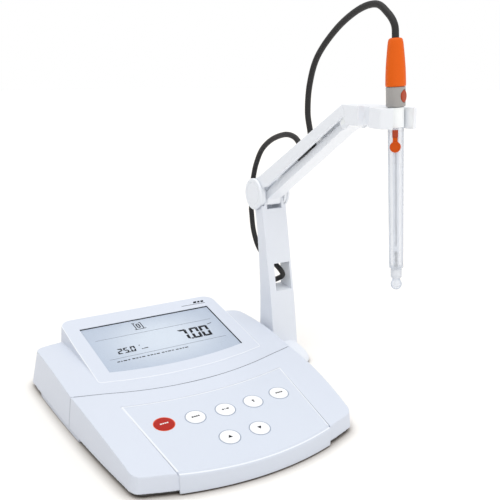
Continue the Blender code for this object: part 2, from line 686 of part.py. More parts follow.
def pad_ring(z, scale):
    """Pad outline at one level, kept clear of the case on its left."""
    angles = [math.pi + math.pi * k / 12 for k in range(13)]
    outline = [(PAD_X + PAD_HALF_X * math.cos(a), PAD_FRONT_Y + PAD_HALF_Y * math.sin(a))
               for a in angles]
    outline += [(128.1, 66.0), (124.0, 71.0), (104.4, 71.0), (PAD_LEFT, 66.0)]
    rear_scale = scale * PAD_REAR_SHRINK + (1 - PAD_REAR_SHRINK)
    return [(max(PAD_X + (x - PAD_X) * scale, PAD_LEFT),
             PAD_SHRINK_Y + (y - PAD_SHRINK_Y) * (scale if y < PAD_SHRINK_Y else rear_scale),
             z) for x, y in outline]


def hinge_bore():
    return cross_pin(ARM_X0 - 2, POST_HINGE, THROUGH, HINGE_BORE_R, 12)


post = add_piece("post", prism_x(POST_OUTLINE, ARM_X0, ARM_X1), WHITE)
# round recesses where the arm's cheeks turn
for x, inward in ((ARM_X0 - 1, RIGHT), (ARM_X1 + 1, LEFT)):
    cut(post, cylinder((x, *POST_HINGE), inward, 1 + ARM_WALL + GAP, HINGE_R + 1.0, 28))
join(post, prism_x(POST_EAR, EAR_X0, EAR_X1))
cut(post, prism_x(POST_EAR_SLOT, EAR_X0 + EAR_T, EAR_X1 - EAR_T))
join(post, loft([pad_ring(z, scale) for z, scale in PAD_LEVELS]))
# recess below for the bracket plate, and its two screw holes
cut(post, box(95, BRACKET_X1 + 0.5, BRACKET_Y0 - GAP, BRACKET_Y1 + GAP, -1.0, 2.3))
for y in BRACKET_HOLES_Y:
    cut(post, cylinder((BRACKET_HOLES_X[1], y, 1.0), UP, 11.0, 1.7, 8))
# window through the column for the electrode lead
cut(post, prism_x(LEAD_WINDOW, 106.6, 122.6))
cut(post, hinge_bore())
cut(post, cross_pin(ARM_X0 + 2.6, POST_PIVOT, 22.0, 1.5, 10))

# ---------------------------------------------------------------- arm bracket
arm_bracket = add_piece("arm_bracket",
                        box(BRACKET_X0, BRACKET_X1, BRACKET_Y0, BRACKET_Y1, 0.45, 1.9), STEEL)
bracket_holes = [(x, y) for x in BRACKET_HOLES_X for y in BRACKET_HOLES_Y]
for x, y in bracket_holes:
    cut(arm_bracket, cylinder((x, y, -1), UP, 5.0, 1.6, 8))
for number, (x, y) in enumerate(bracket_holes, 1):
    # shorter screws into the case, longer ones into the post
    shank_end, tip = (5.5, 6.0) if x == BRACKET_HOLES_X[0] else (9.0, 9.6)
    profile = [(0, 0), (0, 2.4), (0.1, 2.6), (0.2, 1.2), (shank_end, 1.2), (tip, 0.0)]
    add_piece(f"bracket_screw_{number}", turned((x, y, 0.08), UP, profile, 8), STEEL)

# ------------------------------------------------------------------ upper arm
# inverted channel whose end cheeks wrap both hinges; lines and outlines are (y, z)
TOP_LINE = ((66.3, 159.7), (-52.0, 229.5))
LOW_LINE = ((52.1, 153.2), (-52.5, 221.1))
WEB_T = 2.6                # depth of the web below the top line


def on_line(line, y):
    (y0, z0), (y1, z1) = line
    return z0 + (z1 - z0) * (y - y0) / (y1 - y0)


ARM_OUTLINE = (arc(POST_HINGE, HINGE_R, 147, 420, 20)
               + [(62.0, on_line(TOP_LINE, 62.0))]
               + arc(HEAD_HINGE, CHEEK_R, 115, 197, 6)
               + [(-51.0, 219.7), (-40.0, on_line(LOW_LINE, -40.0)),
                  (50.5, on_line(LOW_LINE, 50.5))])
ARM_CHANNEL = [(100.0, on_line(TOP_LINE, 62.0) - 40.0), (100.0, 163.0), (66.0, 163.0),
               (58.0, on_line(TOP_LINE, 58.0) - WEB_T),
               (-37.0, on_line(TOP_LINE, -37.0) - WEB_T),
               (-39.0, 250.0), (-80.0, 250.0), (-80.0, 180.0), (20.0, 120.0)]
LEAD_SLOT = [(26.0, 170.0), (26.0, 200.0), (-6.0, 220.0), (-6.0, 185.0)]

upper_arm = add_piece("upper_arm", prism_x(ARM_OUTLINE, ARM_X0, ARM_X1), WHITE)
cut(upper_arm, prism_x(ARM_CHANNEL, ARM_X0 + ARM_WALL, ARM_X1 - ARM_WALL))
# slot in the web where the lead enters and leaves
cut(upper_arm, prism_x(LEAD_SLOT, 108.6, 119.2))
cut(upper_arm, hinge_bore())
# blind at both ends
cut(upper_arm, cross_pin(ARM_X0 + 0.7, HEAD_HINGE, ARM_X1 - ARM_X0 - 1.4, 1.8, 10))

# hinge caps, shallow discs with a raised inner land, and the hinge screws
CAP_R, CAP_T = 13.9, 2.7
CAP_PROFILE = [(0, 0), (0, CAP_R - 0.6), (0.5, CAP_R), (CAP_T - 0.9, CAP_R),
               (CAP_T - 0.2, CAP_R - 0.8), (CAP_T - 0.2, 9.6), (CAP_T, 9.2), (CAP_T, 0)]
for side, label, face_x in ((-1, "left", ARM_X0), (1, "right", ARM_X1)):
    add_piece("hinge_cap_" + label,
              turned((face_x + side * GAP, *POST_HINGE), (side, 0, 0), CAP_PROFILE, 24), WHITE)
    add_piece("hinge_screw_" + label,
              cylinder((face_x - side * 0.05, *POST_HINGE), (-side, 0, 0), 4.6, 2.0, 10), STEEL)

# ------------------------------------------------------------------- link bar
LINK_X0, LINK_X1 = 105.4, 119.6
LINK_OUTLINE = (arc(POST_PIVOT, 4.0, -60, 100, 10)
                + [(60.2, 146.6), (52.0, 154.0), (21.4, 173.8), (-44.0, 214.7)]
                + arc(HEAD_PIVOT, 3.3, 72, 250, 8)
                + [(-45.0, 209.4), (21.2, 165.4), (57.2, 141.6), (57.7, 137.4), (59.5, 136.0)])

link_bar = add_piece("link_bar", prism_x(LINK_OUTLINE, LINK_X0, LINK_X1), WHITE)
for pivot in (POST_PIVOT, HEAD_PIVOT):
    cut(link_bar, cross_pin(LINK_X0 - 2, pivot, 20.0, 1.6, 10))

# ---------------------------------------------------------------- holder head
HEAD_Z0, HEAD_Z1 = 215.4, 229.2
CLIP_X, CLIP_Y, CLIP_R = 112.2, -92.0, 15.7
PIN_HOLE_R = 1.8
KNUCKLE = ([(-49.8, HEAD_Z1), (-49.8, 226.6), (-53.4, 222.0)]
           + arc((-60.0, 221.8), 6.4, -5, -85, 6) + [(-70.2, HEAD_Z0), (-70.2, HEAD_Z1)])
HEAD_EAR = ([(-56.0, 226.4), (-50.0, 226.5)] + arc(HEAD_HINGE, 4.2, 80, -50, 7)
            + [(-46.6, 215.0), (-48.0, 212.2), (-51.6, 211.5), (-55.0, 212.6), (-59.0, 216.5)])
HEAD_SLOT = [(-30.0, 200.0), (-57.0, 200.0), (-60.5, 212.0), (-59.5, 218.5), (-56.0, 221.5),
             (-52.0, 222.8), (-49.0, 226.0), (-49.0, 240.0), (-30.0, 240.0)]
# plan outlines, (x, y)
NECK = [(105.5, -69.0), (119.5, -69.0), (118.5, -80.0), (106.5, -80.0)]
CLIP_MOUTH = [(103.1, -96.6), (117.3, -96.6), (117.6, -112.0), (102.8, -112.0)]

holder_head = add_piece("holder_head", prism_x(KNUCKLE, ARM_X0, ARM_X1), WHITE)
join(holder_head, prism_x(HEAD_EAR, EAR_X0, EAR_X1))
# slot between the ears for the link bar and the room it needs
cut(holder_head, prism_x(HEAD_SLOT, EAR_X0 + EAR_T, EAR_X1 - EAR_T))
# round recesses beside the ears where the arm's cheeks turn
for x in (ARM_X0 - 1.0, EAR_X1):
    cut(holder_head, cross_pin(x, HEAD_HINGE, 1.0 + ARM_WALL + GAP, CHEEK_R + GAP, 36))
join(holder_head, prism_z(NECK, HEAD_Z0 + 0.6, HEAD_Z1 - 0.3))
join(holder_head, cylinder((CLIP_X, CLIP_Y, HEAD_Z0), UP, HEAD_Z1 - HEAD_Z0 - 0.2, CLIP_R, 24))
# electrode bore and the clip's front mouth
cut(holder_head, cylinder(HOLDER_TOP - AXIS * 10, AXIS, 40.0, 6.05, 20))
cut(holder_head, prism_z(CLIP_MOUTH, 205.0, 240.0))
cut(holder_head, cross_pin(ARM_X0 - 2, HEAD_HINGE, THROUGH, PIN_HOLE_R, 10))
cut(holder_head, cross_pin(EAR_X0 + 0.7, HEAD_PIVOT, EAR_X1 - EAR_X0 - 1.4, PIN_HOLE_R, 10))

# ----------------------------------------------------------------------- pins
PINS = [  # name, pivot, x0, x1, end clearance, radius
    ("link_pin_lower", POST_PIVOT, EAR_X0, EAR_X1, 0.4, 1.2),
    ("head_pin", HEAD_HINGE, ARM_X0, ARM_X1, 1.0, 1.5),
    ("link_pin_upper", HEAD_PIVOT, EAR_X0, EAR_X1, 1.0, 1.2)]
for name, pivot, x0, x1, clearance, radius in PINS:
    add_piece(name, cross_pin(x0 + clearance, pivot, x1 - x0 - 2 * clearance, radius, 10), STEEL)


# ------------------------------------------------------------------ electrode
def on_axis(distance):
    """Point on the electrode axis, this far below the holder's top."""
    return HOLDER_TOP + AXIS * distance


def square_to_axis(x, y):
    """Unit vector across the electrode, nearest to a horizontal direction."""
    direction = Vector((x, y, 0.0))
    return (direction - AXIS * direction.dot(AXIS)).normalized()


CAP_BASE = 13.35           # distance of the orange cap's base above the holder's top
CAP_LENGTH = 30.6
ELECTRODE_CAP_PROFILE = [(0, 0), (0, 6.6), (1.0, 6.75), (12.0, 6.4), (22.0, 5.6), (28.0, 4.9),
                         (29.8, 4.5), (CAP_LENGTH, 3.6), (CAP_LENGTH, 0)]
COLLAR_PROFILE = [(0, 0), (0, 6.1), (0.6, 6.45), (12.7, 6.45), (12.7, 0)]
# hollow from 12 mm down, open at the lower end
SHAFT_PROFILE = [(0, 0), (0, 5.4), (60.0, 5.2), (110.6, 4.95), (110.9, 4.6), (110.9, 3.6),
                 (12.0, 3.9), (12.0, 0)]
GUARD_PROFILE = [(0, 0), (0, 3.3), (1.2, 3.9), (6.6, 3.9), (7.2, 3.4), (7.2, 0)]
BULB_PROFILE = [(0, 0), (0, 2.6), (1.2, 3.5), (3.4, 3.95), (5.6, 3.7), (7.4, 2.7), (8.6, 1.3),
                (8.9, 0)]
FILL_HOLE = 25.6           # distance of the filling hole along the axis

add_piece("electrode_cap", turned(on_axis(-CAP_BASE), -AXIS, ELECTRODE_CAP_PROFILE, 16), ORANGE)

# collar with a round insert set in its front
collar = add_piece("electrode_collar", turned(on_axis(-0.35), -AXIS, COLLAR_PROFILE, 16), GREY)
insert_way = square_to_axis(0.345, -0.938)
insert_seat = on_axis(-7.0) + insert_way * 5.2
cut(collar, cylinder(insert_seat, insert_way, 4.0, 3.6, 12))
add_piece("collar_insert", cylinder(insert_seat + insert_way * GAP, insert_way, 1.3, 3.3, 12),
          ORANGE)

# the filling hole and its stopper face front left
fill_way = square_to_axis(-0.70, -0.71)
shaft = add_piece("electrode_shaft", turned(on_axis(0.0), AXIS, SHAFT_PROFILE, 16), TUBE)
cut(shaft, cylinder(on_axis(FILL_HOLE) + fill_way * 2.0, fill_way, 6.0, 1.9, 10))
add_piece("inner_tube", cylinder(on_axis(12.6), AXIS, 97.0, 1.6, 10), GLASS)
add_piece("tip_guard", turned(on_axis(111.2), AXIS, GUARD_PROFILE, 14), TUBE)
add_piece("glass_bulb", turned(on_axis(118.7), AXIS, BULB_PROFILE, 14), GLASS)

# strap on the shaft, and the stopper that hinges at its lower end
STRAP_SEAT, STRAP_T = 5.75, 1.6    # strap's inner face from the axis, thickness
STOPPER_PROFILE = [(0, 0), (0, 1.2), (1.35, 1.2), (1.35, 3.3), (1.8, 3.65), (3.4, 3.65),
                   (3.9, 3.2), (3.9, 0)]
strap_axes = (AXIS.cross(fill_way).normalized(), AXIS, fill_way)
add_piece("stopper_strap",
          oriented_box(on_axis(14.6) + fill_way * STRAP_SEAT, strap_axes,
                       ((-2.0, 2.0), (-0.1, 4.7), (0.0, STRAP_T))), ORANGE, sharp_angle=None)
stopper = add_piece("filler_stopper",
                    turned(on_axis(FILL_HOLE) + fill_way * 4.2, fill_way, STOPPER_PROFILE, 16),
                    ORANGE)
join(stopper, oriented_box(on_axis(22.0) + fill_way * STRAP_SEAT, strap_axes,
                           ((-1.7, 1.7), (-2.38, 1.5), (0.0, STRAP_T))))
set_origin(stopper, on_axis(19.47) + fill_way * (STRAP_SEAT + STRAP_T))

# ---------------------------------------------------------------------- cable
CABLE_R = 2.35
cap_top = on_axis(-(CAP_BASE + CAP_LENGTH))
CABLES = [  # name, steps per span, control points (x, y, z)
    # from the plug along the table, then up and through the post's window
    ("cable_lower", 3, [
        (BNC_X, REAR_WALL_Y + 38.0, SOCKET_Z), (BNC_X, REAR_WALL_Y + 41.0, SOCKET_Z),
        (BNC_X + 0.8, REAR_WALL_Y + 44.5, SOCKET_Z - 1.0), (BNC_X + 6, REAR_WALL_Y + 50, 12.0),
        (68, 158, 4.5), (88, 146, 2.9), (104, 122, 2.9), (112, 98, 3.0), (113.6, 83, 6.0),
        (113.4, 73.0, 20.0), (113.2, 70.0, 40.0), (113.0, 70.4, 53.0), (113.6, 67.5, 61.5),
        (115.2, 57.0, 67.0), (116.5, 48.2, 73.5), (115.2, 56.5, 80.0), (113.0, 71.0, 84.0),
        (112.0, 84.0, 92.0), (112.0, 93.0, 106.0), (112.0, 96.5, 122.0)]),
    ("cable_loop_lower", 2, [
        (112.0, 97.0, 124.2), (112.2, 96.6, 142.0), (112.6, 93.8, 157.0),
        (113.0, 89.2, 169.6), (113.2, 79.7, 182.7), (113.4, 63.7, 192.8),
        (113.6, 43.6, 198.8), (113.8, 29.5, 198.2), (114.0, 22.5, 193.6),
        (114.0, 18.6, 189.3)]),
    ("cable_in_arm", 3, [
        (114.0, 18.3, 188.9), (114.0, 15.8, 186.4), (113.7, 11.5, 185.8),
        (113.2, 6.5, 189.4), (113.0, 3.2, 195.2)]),
    # from the arm over to the electrode's cap
    ("cable_loop_upper", 2, [
        (113.0, 2.4, 197.8), (112.6, 4.6, 206.0), (112.2, 8.0, 220.0), (111.8, 5.6, 241.0),
        (111.4, -4.6, 262.0), (110.8, -28.0, 281.0), (110.0, -53.0, 292.6),
        (109.4, -73.0, 295.4), (108.8, -86.0, 289.0), (cap_top.x + 0.1, -93.0, 281.5),
        cap_top - AXIS * 1.2])]
for name, steps, control in CABLES:
    add_piece(name, sweep(catmull(control, steps), CABLE_R), RUBBER, sharp_angle=60)

# ------------------------------------------------------ origin of the assembly
bpy.context.view_layer.update()
corners = [piece.matrix_world @ vertex.co
           for piece in bpy.data.objects for vertex in piece.data.vertices]
middle = Vector(((min(p.x for p in corners) + max(p.x for p in corners)) / 2,
                 (min(p.y for p in corners) + max(p.y for p in corners)) / 2, 0.0))
for piece in bpy.data.objects:
    piece.location -= middle
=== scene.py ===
# Looks of the benchtop pH meter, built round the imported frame.
# Everything is drawn from the same datum as the part (millimetres, symmetry
# plane of the case, table at z = 0); OFF moves it into the frame's axes.
import math
import bmesh
import bpy
from mathutils.bvhtree import BVHTree
from mathutils import Matrix, Vector


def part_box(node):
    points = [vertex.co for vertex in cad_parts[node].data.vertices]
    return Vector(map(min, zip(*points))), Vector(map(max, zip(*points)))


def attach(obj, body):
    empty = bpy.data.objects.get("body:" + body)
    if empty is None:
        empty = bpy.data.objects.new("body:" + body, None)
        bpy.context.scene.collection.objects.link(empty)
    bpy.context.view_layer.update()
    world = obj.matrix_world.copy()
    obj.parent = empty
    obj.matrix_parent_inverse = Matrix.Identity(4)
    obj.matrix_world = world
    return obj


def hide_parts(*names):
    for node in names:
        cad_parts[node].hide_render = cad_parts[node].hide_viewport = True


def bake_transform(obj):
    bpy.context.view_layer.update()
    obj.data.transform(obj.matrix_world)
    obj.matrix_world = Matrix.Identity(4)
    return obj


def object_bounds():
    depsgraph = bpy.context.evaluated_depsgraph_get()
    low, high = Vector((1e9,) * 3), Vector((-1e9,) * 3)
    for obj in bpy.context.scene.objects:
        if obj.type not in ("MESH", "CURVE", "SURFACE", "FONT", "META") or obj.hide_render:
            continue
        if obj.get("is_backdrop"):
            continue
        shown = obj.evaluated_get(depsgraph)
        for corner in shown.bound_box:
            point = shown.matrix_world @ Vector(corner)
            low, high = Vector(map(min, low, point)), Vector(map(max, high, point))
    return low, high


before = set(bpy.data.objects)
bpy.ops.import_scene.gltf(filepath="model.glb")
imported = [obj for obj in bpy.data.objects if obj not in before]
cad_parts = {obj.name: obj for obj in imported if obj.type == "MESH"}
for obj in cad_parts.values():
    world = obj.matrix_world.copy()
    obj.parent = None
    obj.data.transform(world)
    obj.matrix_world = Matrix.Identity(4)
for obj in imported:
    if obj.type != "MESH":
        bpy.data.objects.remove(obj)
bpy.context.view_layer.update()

_a, _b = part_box("foot_front_left")
OFF = Vector(((_a.x + _b.x) / 2 + 0.058, (_a.y + _b.y) / 2 + 0.088, 0.0))
MM = 0.001

# ================================================================= dimensions
WALL = 2.4
GAP = 0.3
COVER_BOTTOM = 3.0
SEAM_Y0, SEAM_C = -18.9, 0.00218
FRONT_Y0, FRONT_C = -115.5, 0.00262
CORNER_R, CORNER_X, CORNER_Y = 12.0, 72.4, -89.6
KEY_PLANE_Z0, KEY_SLOPE = 29.06, 0.1383
DISP_PLANE_Z0, DISP_SLOPE = 28.26, 0.1502
PANEL_TOP_Y0, PANEL_TOP_C = -35.4, 0.00170
PANEL_FRONT_Y0, PANEL_FRONT_C = -116.8, 0.00262
PANEL_HALF_REAR, PANEL_HALF_FRONT = 65.5, 57.0
HOUSING_Y0, HOUSING_C, HOUSING_REAR = -1.1, 0.00179, 107.0
SHOULDER_REAR = 97.0
LCD_FRONT_Y0, LCD_FRONT_C = 11.6, 0.00186
LCD_HALF_FRONT, LCD_HALF_REAR, LCD_REAR = 57.7, 59.5, 88.3
KEY_D = 14.0
KEYS = [("key_red", -45.85, -58.4), ("key_mode", -23.0, -59.9), ("key_range", 0.0, -60.5),
        ("key_store", 23.0, -59.9), ("key_enter", 45.85, -58.4), ("key_up", -11.6, -88.8),
        ("key_down", 11.6, -88.8)]
ARM_X0, ARM_X1 = 100.0, 125.0
EAR_T, ARM_WALL = 2.3, 2.4
P1 = (69.1, 145.2)
P2 = (65.0, 139.0)
Q1 = (-47.5, 222.0)
Q2 = (Q1[0] + P2[0] - P1[0], Q1[1] + P2[1] - P1[1])
HINGE_R, CAP_R, CAP_T = 13.2, 13.9, 2.7
CHEEK_R = 7.4
LINK_X0, LINK_X1 = 105.4, 119.6
EAR0, EAR1 = ARM_X0 + ARM_WALL + GAP, ARM_X1 - ARM_WALL - GAP
EL_P = Vector((111.0, -96.0, 229.5))
EL_D = Vector((0.0506, -0.0291, -1.0)).normalized()
CABLE_R = 2.35


# ================================================================== materials
def nodes_of(m):
    m.use_nodes = True
    nt = m.node_tree
    return nt, nt.nodes["Principled BSDF"]


def add(nt, kind, **props):
    n = nt.nodes.new(kind)
    for k, v in props.items():
        setattr(n, k, v)
    return n


def coords(nt, scale=(1, 1, 1)):
    tc = add(nt, "ShaderNodeTexCoord")
    mp = add(nt, "ShaderNodeMapping")
    mp.inputs["Scale"].default_value = scale
    nt.links.new(tc.outputs["Object"], mp.inputs["Vector"])
    return mp.outputs["Vector"]


def noise_of(nt, vec, scale, detail=3.0, rough=0.5):
    n = add(nt, "ShaderNodeTexNoise")
    n.inputs["Scale"].default_value = scale
    n.inputs["Detail"].default_value = detail
    n.inputs["Roughness"].default_value = rough
    nt.links.new(vec, n.inputs["Vector"])
    return n.outputs["Fac"]


def remap(nt, fac, lo, hi):
    r = add(nt, "ShaderNodeMapRange")
    r.inputs["To Min"].default_value = lo
    r.inputs["To Max"].default_value = hi
    nt.links.new(fac, r.inputs["Value"])
    return r.outputs["Result"]


def plastic(name, rgb, rough=0.42, grain=1600.0, bump=0.05, vary=0.02, coat=0.0, sss=0.0,
            spec=0.4, grain_vary=0.0, edge=0.0):
    """Moulded plastic: fine moulded grain, slow colour drift, uneven gloss, and (with edge) a painted highlight on
    rounded edges.
    """
    m = bpy.data.materials.new(name)
    nt, b = nodes_of(m)
    vec = coords(nt)
    slow = noise_of(nt, vec, 14.0, 4.0, 0.55)
    fine = noise_of(nt, vec, grain, 2.0, 0.6)
    mid = noise_of(nt, vec, 120.0, 3.0, 0.5)
    hs = add(nt, "ShaderNodeHueSaturation")
    hs.inputs["Color"].default_value = (*rgb, 1.0)
    nt.links.new(remap(nt, slow, 1.0 - vary, 1.0 + vary), hs.inputs["Value"])
    col = hs.outputs["Color"]
    if grain_vary:
        h2 = add(nt, "ShaderNodeHueSaturation")
        nt.links.new(col, h2.inputs["Color"])
        nt.links.new(remap(nt, fine, 1.0 - grain_vary, 1.0 + grain_vary), h2.inputs["Value"])
        col = h2.outputs["Color"]
    # painted highlight: where pointiness is high, on rounded edges, the colour is lightened by the edge factor
    if edge:
        geo = add(nt, "ShaderNodeNewGeometry")
        r = add(nt, "ShaderNodeMapRange")
        r.inputs["From Min"].default_value = 0.53
        r.inputs["From Max"].default_value = 0.60
        nt.links.new(geo.outputs["Pointiness"], r.inputs["Value"])
        mx = add(nt, "ShaderNodeMix", data_type='RGBA')
        mx.inputs["B"].default_value = (min(1, rgb[0] * (1 + edge)), min(1, rgb[1] * (1 + edge)),
                                        min(1, rgb[2] * (1 + edge)), 1.0)
        nt.links.new(r.outputs["Result"], mx.inputs["Factor"])
        nt.links.new(col, mx.inputs["A"])
        col = mx.outputs["Result"]
    nt.links.new(col, b.inputs["Base Color"])
    nt.links.new(remap(nt, mid, rough - 0.05, rough + 0.06), b.inputs["Roughness"])
    b.inputs["Specular IOR Level"].default_value = spec
    if coat:
        b.inputs["Coat Weight"].default_value = coat
        b.inputs["Coat Roughness"].default_value = 0.08
    if sss:
        b.inputs["Subsurface Weight"].default_value = sss
        b.inputs["Subsurface Radius"].default_value = (0.002, 0.002, 0.0025)
        b.inputs["Subsurface Scale"].default_value = 1.0
    if bump:
        bp = add(nt, "ShaderNodeBump")
        bp.inputs["Strength"].default_value = bump
        bp.inputs["Distance"].default_value = 0.0002
        nt.links.new(fine, bp.inputs["Height"])
        nt.links.new(bp.outputs["Normal"], b.inputs["Normal"])
    return m


def metal(name, rgb, rough=0.28, stretch=(60, 60, 900)):
    m = bpy.data.materials.new(name)
    nt, b = nodes_of(m)
    vec = coords(nt, stretch)
    f = noise_of(nt, vec, 3.0, 3.0)
    hs = add(nt, "ShaderNodeHueSaturation")
    hs.inputs["Color"].default_value = (*rgb, 1.0)
    nt.links.new(remap(nt, f, 0.85, 1.08), hs.inputs["Value"])
    nt.links.new(hs.outputs["Color"], b.inputs["Base Color"])
    b.inputs["Metallic"].default_value = 1.0
    nt.links.new(remap(nt, f, rough - 0.08, rough + 0.12), b.inputs["Roughness"])
    bp = add(nt, "ShaderNodeBump")
    bp.inputs["Strength"].default_value = 0.15
    bp.inputs["Distance"].default_value = 0.0001
    nt.links.new(f, bp.inputs["Height"])
    nt.links.new(bp.outputs["Normal"], b.inputs["Normal"])
    return m


def clear(name, rgb, share, rough=0.08):
    """Thin clear plastic or glass: see-through with a fresnel sheen."""
    m = bpy.data.materials.new(name)
    nt, b = nodes_of(m)
    out = nt.nodes["Material Output"]
    b.inputs["Base Color"].default_value = (*rgb, 1.0)
    vec = coords(nt)
    nt.links.new(remap(nt, noise_of(nt, vec, 60.0), rough * 0.8, rough * 1.3), b.inputs["Roughness"])
    tr = add(nt, "ShaderNodeBsdfTransparent")
    tr.inputs["Color"].default_value = (0.97, 0.98, 1.0, 1.0)
    lw = add(nt, "ShaderNodeLayerWeight")
    lw.inputs["Blend"].default_value = 0.25
    mx = add(nt, "ShaderNodeMixShader")
    nt.links.new(remap(nt, lw.outputs["Fresnel"], share, min(1.0, share + 0.5)), mx.inputs["Fac"])
    nt.links.new(tr.outputs["BSDF"], mx.inputs[1])
    nt.links.new(b.outputs["BSDF"], mx.inputs[2])
    nt.links.new(mx.outputs["Shader"], out.inputs["Surface"])
    return m


WHITE = plastic("case_white", (0.665, 0.708, 0.795), 0.40, 1500, 0.05, 0.012)
# arm and post whites carry a painted edge highlight through edge=
ARMW = plastic("arm_white", (0.885, 0.912, 0.955), 0.36, 1800, 0.035, 0.010, edge=0.10)
POSTW = plastic("post_white", (0.800, 0.832, 0.890), 0.38, 1700, 0.035, 0.010, edge=0.16)
PANEL = plastic("panel_white", (0.655, 0.700, 0.785), 0.34, 2600, 0.03, 0.008)
# lighter copy of the panel white for the edge beads: a painted highlight
HIGHLIGHT_BEAD = plastic("panel_bead_painted_highlight", (0.84, 0.868, 0.91), 0.34, 2600, 0.03, 0.008)
KEYW = plastic("key_white", (0.92, 0.925, 0.935), 0.28, 2200, 0.02, 0.01, coat=0.25)
KEYR = plastic("key_red_cap", (0.42, 0.016, 0.008), 0.5, 2200, 0.02, 0.04, spec=0.2)
RIMB = plastic("key_rim_blue_grey", (0.34, 0.40, 0.50), 0.5, 1800, 0.05, 0.02)
RIMR = plastic("key_rim_red", (0.80, 0.11, 0.03), 0.45, 1800, 0.05, 0.02)
# near-black for the bottom plate and base rim, painted shade under the case; also the dark flag card
DARK_SHADE = plastic("dark_painted_shade_and_flag", (0.07, 0.068, 0.066), 0.6, 1500, 0.05, 0.05)
# dark grey of the seam tongue: painted shade of the gap between the covers
SEAM_PAINTED_SHADE = plastic("seam_shade", (0.16, 0.18, 0.22), 0.7, 1500, 0.05, 0.02)
INK = plastic("print_dark", (0.006, 0.006, 0.009), 0.9, 2600, 0.02, 0.1, spec=0.02)
INKSOFT = plastic("print_grey", (0.10, 0.11, 0.14), 0.9, 2600, 0.02, 0.05)
INKPALE = plastic("print_pale", (0.80, 0.78, 0.76), 0.6, 2600, 0.02, 0.05)
RUBBER = plastic("rubber_black", (0.022, 0.022, 0.024), 0.62, 1400, 0.25, 0.15)
CABLEM = plastic("cable_jacket", (0.028, 0.027, 0.027), 0.5, 900, 0.18, 0.12, spec=0.25)
ORANGE = plastic("orange_moulding", (0.80, 0.125, 0.006), 0.45, 1300, 0.10, 0.05, grain_vary=0.05, spec=0.15)
ORANGE3 = plastic("orange_stopper", (0.62, 0.085, 0.005), 0.45, 1300, 0.08, 0.05, grain_vary=0.05, spec=0.12)
ORANGE2 = plastic("orange_dark", (0.42, 0.046, 0.006), 0.45, 1300, 0.06, 0.04, grain_vary=0.04)
GREYM = plastic("collar_grey", (0.375, 0.362, 0.350), 0.38, 1500, 0.05, 0.03)
STEEL = metal("zinc_steel", (0.60, 0.60, 0.62), 0.32)
NICKEL = metal("nickel", (0.72, 0.71, 0.69), 0.2, (300, 300, 300))
PCB = plastic("board_green", (0.02, 0.17, 0.07), 0.45, 900, 0.2, 0.2, coat=0.4)
SILI = plastic("silicone_grey", (0.40, 0.41, 0.43), 0.6, 900, 0.1, 0.06)


def pane_material():
    """Flat clear window: nearly invisible, with a faint surface sheen."""
    m = bpy.data.materials.new("window_clear")
    nt, b = nodes_of(m)
    out = nt.nodes["Material Output"]
    tr = add(nt, "ShaderNodeBsdfTransparent")
    tr.inputs["Color"].default_value = (0.985, 0.99, 1.0, 1.0)
    gl = add(nt, "ShaderNodeBsdfGlossy")
    gl.inputs["Color"].default_value = (0.95, 0.97, 1.0, 1.0)
    vec = coords(nt)
    nt.links.new(remap(nt, noise_of(nt, vec, 60.0), 0.08, 0.14), gl.inputs["Roughness"])
    lw = add(nt, "ShaderNodeLayerWeight")
    lw.inputs["Blend"].default_value = 0.15
    mx = add(nt, "ShaderNodeMixShader")
    nt.links.new(remap(nt, lw.outputs["Facing"], 0.0, 0.10), mx.inputs["Fac"])
    nt.links.new(tr.outputs["BSDF"], mx.inputs[1])
    nt.links.new(gl.outputs["BSDF"], mx.inputs[2])
    nt.links.new(mx.outputs["Shader"], out.inputs["Surface"])
    return m


WINDOW = pane_material()
BODY = clear("electrode_body", (0.90, 0.93, 0.975), 0.38, 0.22)
GUARD = clear("electrode_guard", (0.88, 0.91, 0.96), 0.66, 0.2)
BULB = clear("bulb_glass", (0.84, 0.88, 0.94), 0.42, 0.05)
WIRE = plastic("inner_wire", (0.10, 0.11, 0.14), 0.4, 1500, 0.05, 0.1)
WIRE2 = plastic("inner_junction", (0.05, 0.055, 0.07), 0.4, 1500, 0.05, 0.1)


def lcd_material():
    """Pale blue-grey reflective display with a painted sheen: paler towards the middle, faint cell grid."""
    m = bpy.data.materials.new("lcd_face")
    nt, b = nodes_of(m)
    tc = add(nt, "ShaderNodeTexCoord")
    mp = add(nt, "ShaderNodeMapping")
    mp.inputs["Location"].default_value = (-OFF.x * 15.5, -(OFF.y + 0.052) * 20.0, 0)
    mp.inputs["Scale"].default_value = (15.5, 20.0, 0.0)
    nt.links.new(tc.outputs["Object"], mp.inputs["Vector"])
    # spherical gradient, paler in the middle: a painted sheen
    gr = add(nt, "ShaderNodeTexGradient", gradient_type='SPHERICAL')
    nt.links.new(mp.outputs["Vector"], gr.inputs["Vector"])
    cr = add(nt, "ShaderNodeValToRGB")
    cr.color_ramp.interpolation = 'EASE'
    cr.color_ramp.elements[0].position = 0.0
    cr.color_ramp.elements[0].color = (0.500, 0.558, 0.640, 1)
    cr.color_ramp.elements[1].position = 0.85
    cr.color_ramp.elements[1].color = (0.670, 0.722, 0.778, 1)
    nt.links.new(gr.outputs["Fac"], cr.inputs["Fac"])
    fine = noise_of(nt, tc.outputs["Object"], 2200.0, 1.0)
    hs = add(nt, "ShaderNodeHueSaturation")
    nt.links.new(cr.outputs["Color"], hs.inputs["Color"])
    nt.links.new(remap(nt, fine, 0.985, 1.015), hs.inputs["Value"])
    nt.links.new(hs.outputs["Color"], b.inputs["Base Color"])
    b.inputs["Roughness"].default_value = 0.5
    b.inputs["Specular IOR Level"].default_value = 0.2
    return m


LCDM = lcd_material()


